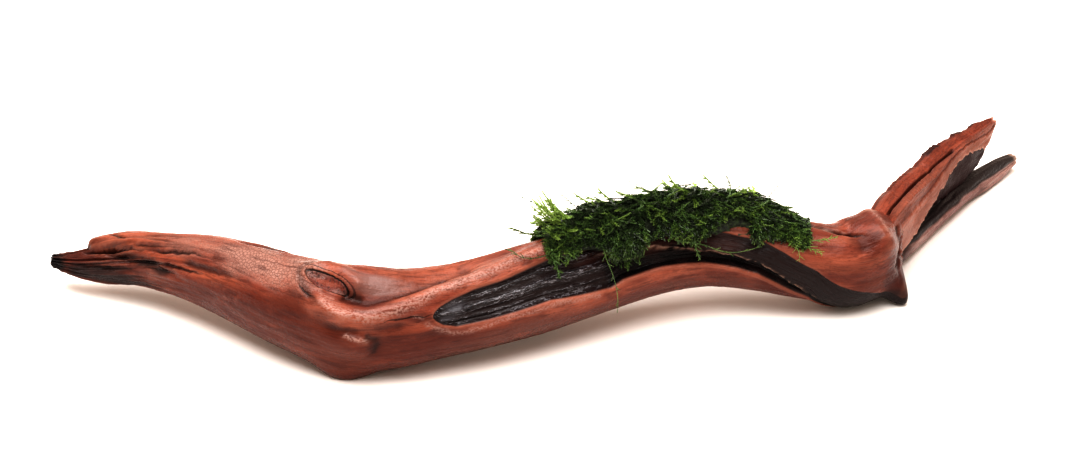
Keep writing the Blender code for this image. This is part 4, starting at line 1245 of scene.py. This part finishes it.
def make_moss_tree():
    """Geometry Nodes that set stems with leaves and give them a thickness."""
    tree = bpy.data.node_groups.new("leafy_moss", "GeometryNodeTree")
    open_group(tree, "OUTPUT", {"Geometry": "Geometry"})
    sizes = {"Leaf Spacing": "Float", "Stem Radius": "Float", "Roll": "Float"}
    objects = {"Whorl": "Object", "Finish": "Material", "Seed": "Int"}
    open_group(tree, "INPUT", {"Geometry": "Geometry"} | sizes | objects)
    given = wires(tree, tree.nodes.new("NodeGroupInput").outputs)
    lines = add(tree, "GeometryNodeMeshToCurve", {"Mesh": given["Geometry"]})
    inputs = {"Curve": lines, "Length": given["Leaf Spacing"]}
    spaced = add(tree, "GeometryNodeResampleCurve", inputs, mode="LENGTH")
    tangent = add(tree, "GeometryNodeInputTangent", {})
    outward = add(tree, "GeometryNodeInputNamedAttribute", {"Name": "outward"}, data_type="FLOAT_VECTOR")
    leaf = add(tree, "GeometryNodeInputNamedAttribute", {"Name": "leaf"}, data_type="FLOAT")
    facing = add(tree, "FunctionNodeAlignRotationToVector", {"Vector": tangent}, axis="Z")
    inputs = {"Rotation": facing, "Vector": outward}
    facing = add(tree, "FunctionNodeAlignRotationToVector", inputs, axis="Y", pivot_axis="Z")
    inputs = {"Min": given["Roll"] * -1, "Max": given["Roll"], "Seed": given["Seed"]}
    spin = add(tree, "FunctionNodeRandomValue", inputs, data_type="FLOAT")
    spin = add(tree, "FunctionNodeAxisAngleToRotation", {"Axis": (0, 0, 1), "Angle": spin})
    inputs = {"Rotation": facing, "Rotate By": spin}
    facing = add(tree, "FunctionNodeRotateRotation", inputs, rotation_space="LOCAL")
    whorl = add(tree, "GeometryNodeObjectInfo", {"Object": given["Whorl"]}, "Geometry")
    inputs = {"Points": spaced, "Instance": whorl, "Rotation": facing, "Scale": leaf}
    leaves = add(tree, "GeometryNodeInstanceOnPoints", inputs)
    ring = add(tree, "GeometryNodeCurvePrimitiveCircle", {"Resolution": 3, "Radius": given["Stem Radius"]})
    bare = add(tree, "GeometryNodeCurveToMesh", {"Curve": lines, "Profile Curve": ring, "Scale": leaf})
    join = tree.nodes.new("GeometryNodeJoinGeometry")
    feed(tree, join, {0: leaves})
    feed(tree, join, {0: bare})
    whole = add(tree, "GeometryNodeRealizeInstances", {"Geometry": Wire(tree, join.outputs[0])})
    whole = add(tree, "GeometryNodeSetMaterial", {"Geometry": whole, "Material": given["Finish"]})
    feed(tree, tree.nodes.new("NodeGroupOutput"), {"Geometry": whole})
    return tree


def make_frond_look():
    """Wet moss leaves: dark green where old or shaded, yellow green where young."""
    look, shader, mask = new_look("wet_moss_leaves")
    place = add(look.node_tree, "ShaderNodeTexCoord", {}, "Object")
    patch, fleck = speckle(place, 1, 350, 2), speckle(place, 1, 1700, 1)
    bright = mask("bright") + ranged(patch, 0.3, 0.7, -0.2, 0.2)
    young = bright * ranged(mask("young"), 0, 1, 0.35, 1) + ranged(fleck, 0.3, 0.7, -0.08, 0.08)
    layers = (
        (ranged(young, 0, 0.32), (0.064, 0.115, 0.032)),
        (ranged(young, 0.3, 0.8), (0.155, 0.235, 0.052)),
        (ranged(young, 1, 1.5), (0.3, 0.42, 0.115)),
    )
    colour = layered((0.017, 0.026, 0.011), layers)
    feed(look.node_tree, shader, {"Base Color": colour, "Roughness": ranged(fleck, 0.3, 0.7, 0.2, 0.42)})
    return look


frond_look = make_frond_look()
moss_tree = make_moss_tree()
leaf_whorl = make_leaf_whorl()


def grow_moss(name, stems, seed, roll=0.7, spacing=0.4, radius=STEM_RADIUS):
    """A plain mesh of leafy stems."""
    source = set_down(name + "_stems", stem_mesh(name + "_stems", stems))
    modifier = source.modifiers.new("leaves", "NODES")
    modifier.node_group = moss_tree
    values = {"Leaf Spacing": spacing * MM, "Stem Radius": radius * MM, "Roll": roll, "Seed": seed}
    values |= {"Whorl": leaf_whorl, "Finish": frond_look}
    for item in moss_tree.interface.items_tree:
        if item.in_out == "INPUT" and item.name in values:
            modifier[item.identifier] = values[item.name]
    bpy.context.view_layer.update()
    mesh = bpy.data.meshes.new_from_object(source.evaluated_get(bpy.context.evaluated_depsgraph_get()))
    mesh.name = name
    bpy.data.objects.remove(source)
    grown = set_down(name, mesh)
    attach(grown, "root")
    return grown


for seed, (name, grown_stems) in enumerate(stems.items()):
    grow_moss(name, grown_stems, seed)
grow_moss("moss_lace_on_top", lace, 9, spacing=0.36, radius=0.26)

# Stray stems stand clear of the cushion: a long one that hangs before the groove, some that trail along the
# wood or droop in a swag, short tufts, and thin ones that rise from the top. Each starts inside the moss.
# Leaf size, brightness, spacing, then x, angle and height above the wood.
STRAYS = {
    "strand_hanging_front": (
        0.6, 0.42, 0.5,
        ((8.6, 66, 3.6), (9.4, 54, 2.8), (9.4, 42, 2.4), (9.8, 24, 2.6), (10, 4, 2.8), (9.6, -19, 4)),
    ),
    "strand_trailing_left": (
        0.75, 0.3, 0.5, ((-2, 68, 2), (-5.6, 67, 1.4), (-9.5, 69, 1.2), (-12.3, 76, 1.2), (-13, 100, 1.4)),
    ),
    "strand_swag_front": (
        0.7, 0.45, 0.5,
        (
            (30, 44, 2.6), (34.5, 38, 2.2), (39, 33, 2.2), (43.5, 26, 2.2), (49, 24, 2.2), (54.5, 31, 2.2),
            (56, 37, 1.8),
        ),
    ),
    "strand_trailing_right": (
        0.8, 0.8, 0.5, ((67, 50, 1.2), (70.9, 53, 1.6), (73, 53, 2.6), (75.5, 57, 3)),
    ),
    "strand_lower_right": (0.7, 0.8, 0.5, ((68, 46, 1.2), (69.6, 42, 1.4), (70.8, 38, 2.2), (72, 35, 2.8))),
    "frond_hanging_left": (
        1.35, 0.4, 0.35, ((-3.4, 70, 2.2), (-4.2, 61, 2.2), (-4.2, 49, 2), (-4.2, 38, 2)),
    ),
    "frond_hanging_middle": (0.9, 0.45, 0.4, ((35.8, 40, 2.4), (36, 31, 2), (36.4, 23, 2), (37, 16, 2))),
    "frond_hanging_right": (
        0.5, 0.8, 0.6, ((66, 48, 1.4), (66.6, 41, 1.4), (67.4, 33, 2), (67.6, 24, 2.4)),
    ),
    "sprig_left_long": (0.7, 0.55, 0.5, ((8, 110, 3.4), (3, 112, 6), (-1, 112, 10), (-5, 112, 13.3))),
    "sprig_left_low": (
        0.9, 0.7, 0.4, ((-2, 110, 1.6), (-5.6, 110, 2.7), (-7.8, 110, 4.4), (-9.5, 110, 5.6)),
    ),
    "sprig_top_left": (0.6, 0.4, 0.5, ((10.6, 112, 4.2), (9, 112, 6.8), (7.6, 112, 9), (6, 112, 11.2))),
    "sprig_top_long": (0.4, 0.1, 0.9, ((30, 112, 5), (27, 112, 8), (24, 112, 10.6), (20.5, 112, 13.5))),
    "sprig_top_middle": (
        0.7, 0.5, 0.5, ((48.6, 112, 5), (48.2, 112, 7.4), (47.8, 112, 8.8), (47.2, 112, 10.2)),
    ),
    "sprig_top_right": (
        0.5, 0.2, 0.6, ((57.8, 112, 4), (58.6, 112, 5.9), (59.3, 112, 7.2), (60.2, 112, 8.8)),
    ),
}
STRAY_POINTS = 22
for seed, (name, (leaf_size, brightness, spacing, route)) in enumerate(STRAYS.items(), 50):
    rows = [(share, *point) for share, point in zip(np.linspace(0, 1, len(route)), route)]
    line = list(zip(*(smooth(np.linspace(0, 1, STRAY_POINTS), rows, n).tolist() for n in (1, 2, 3))))
    grown_stems = with_twigs(line, brightness, leaf_size, 3, 1, 2.6, 0.5)
    stray = grow_moss("moss_" + name, grown_stems, seed, 1.2, spacing, 0.22)
    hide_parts(name)
bpy.data.objects.remove(leaf_whorl)

# The floor is a plain pale sheet, lit by one broad soft lamp above and a little in front, with a pale room
# round it that shows in the wet wood. None of these is part of the object.
FLOOR_REACH, FLOOR_DROP = 4, 0.00005
look, shader, _ = new_look("pale_sheet")
feed(look.node_tree, shader, {"Base Color": (0.8, 0.785, 0.77), "Roughness": 0.6})
mesh = bpy.data.meshes.new("floor")
corners = [(x * FLOOR_REACH, y * FLOOR_REACH, -FLOOR_DROP) for x, y in ((-1, -1), (1, -1), (1, 1), (-1, 1))]
mesh.from_pydata(corners, [], [(0, 1, 2, 3)])
mesh.materials.append(look)
floor = set_down("floor", mesh)
floor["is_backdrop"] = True

room = bpy.data.worlds.new("pale_room")
room.use_nodes = True
way = add(room.node_tree, "ShaderNodeTexCoord", {}, "Generated")
way = add(room.node_tree, "ShaderNodeSeparateXYZ", {"Vector": way}, "Y")
glow = {"Color": (1, 0.82, 0.69), "Strength": ranged(way, -0.6, 0.6, 1.2, 1.3)}
feed(room.node_tree, room.node_tree.nodes["Background"], glow)
bpy.context.scene.world = room
bpy.context.scene.view_settings.view_transform = "Standard"
bpy.context.scene.view_settings.gamma = 0.7

lamp = bpy.data.lights.new("overhead_softbox", "AREA")
lamp.shape = "RECTANGLE"
lamp.size, lamp.size_y, lamp.energy = 1.05, 0.75, 19.5
holder = set_down("overhead_softbox", lamp)
holder.location = (-0.1, -0.09, 0.76)
holder.rotation_euler = (-holder.location).to_track_quat("-Z", "Y").to_euler()

# The camera looks down at the front from 28 degrees above the floor, from 73 cm away.
AIM = Vector((-0.005, 0.026, 0))
ABOVE = math.radians(28)
AWAY = 0.735
lens = bpy.data.cameras.new("camera")
lens.lens, lens.sensor_width = 80, 36
camera = set_down("camera", lens)
line_of_sight = Vector((0, math.cos(ABOVE), -math.sin(ABOVE)))
camera.location = AIM - line_of_sight * AWAY
camera.rotation_euler = line_of_sight.to_track_quat("-Z", "Y").to_euler()
bpy.context.scene.camera = camera

low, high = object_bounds()
{"cad": [list(cad_low), list(cad_high)], "visual": [list(low), list(high)]}
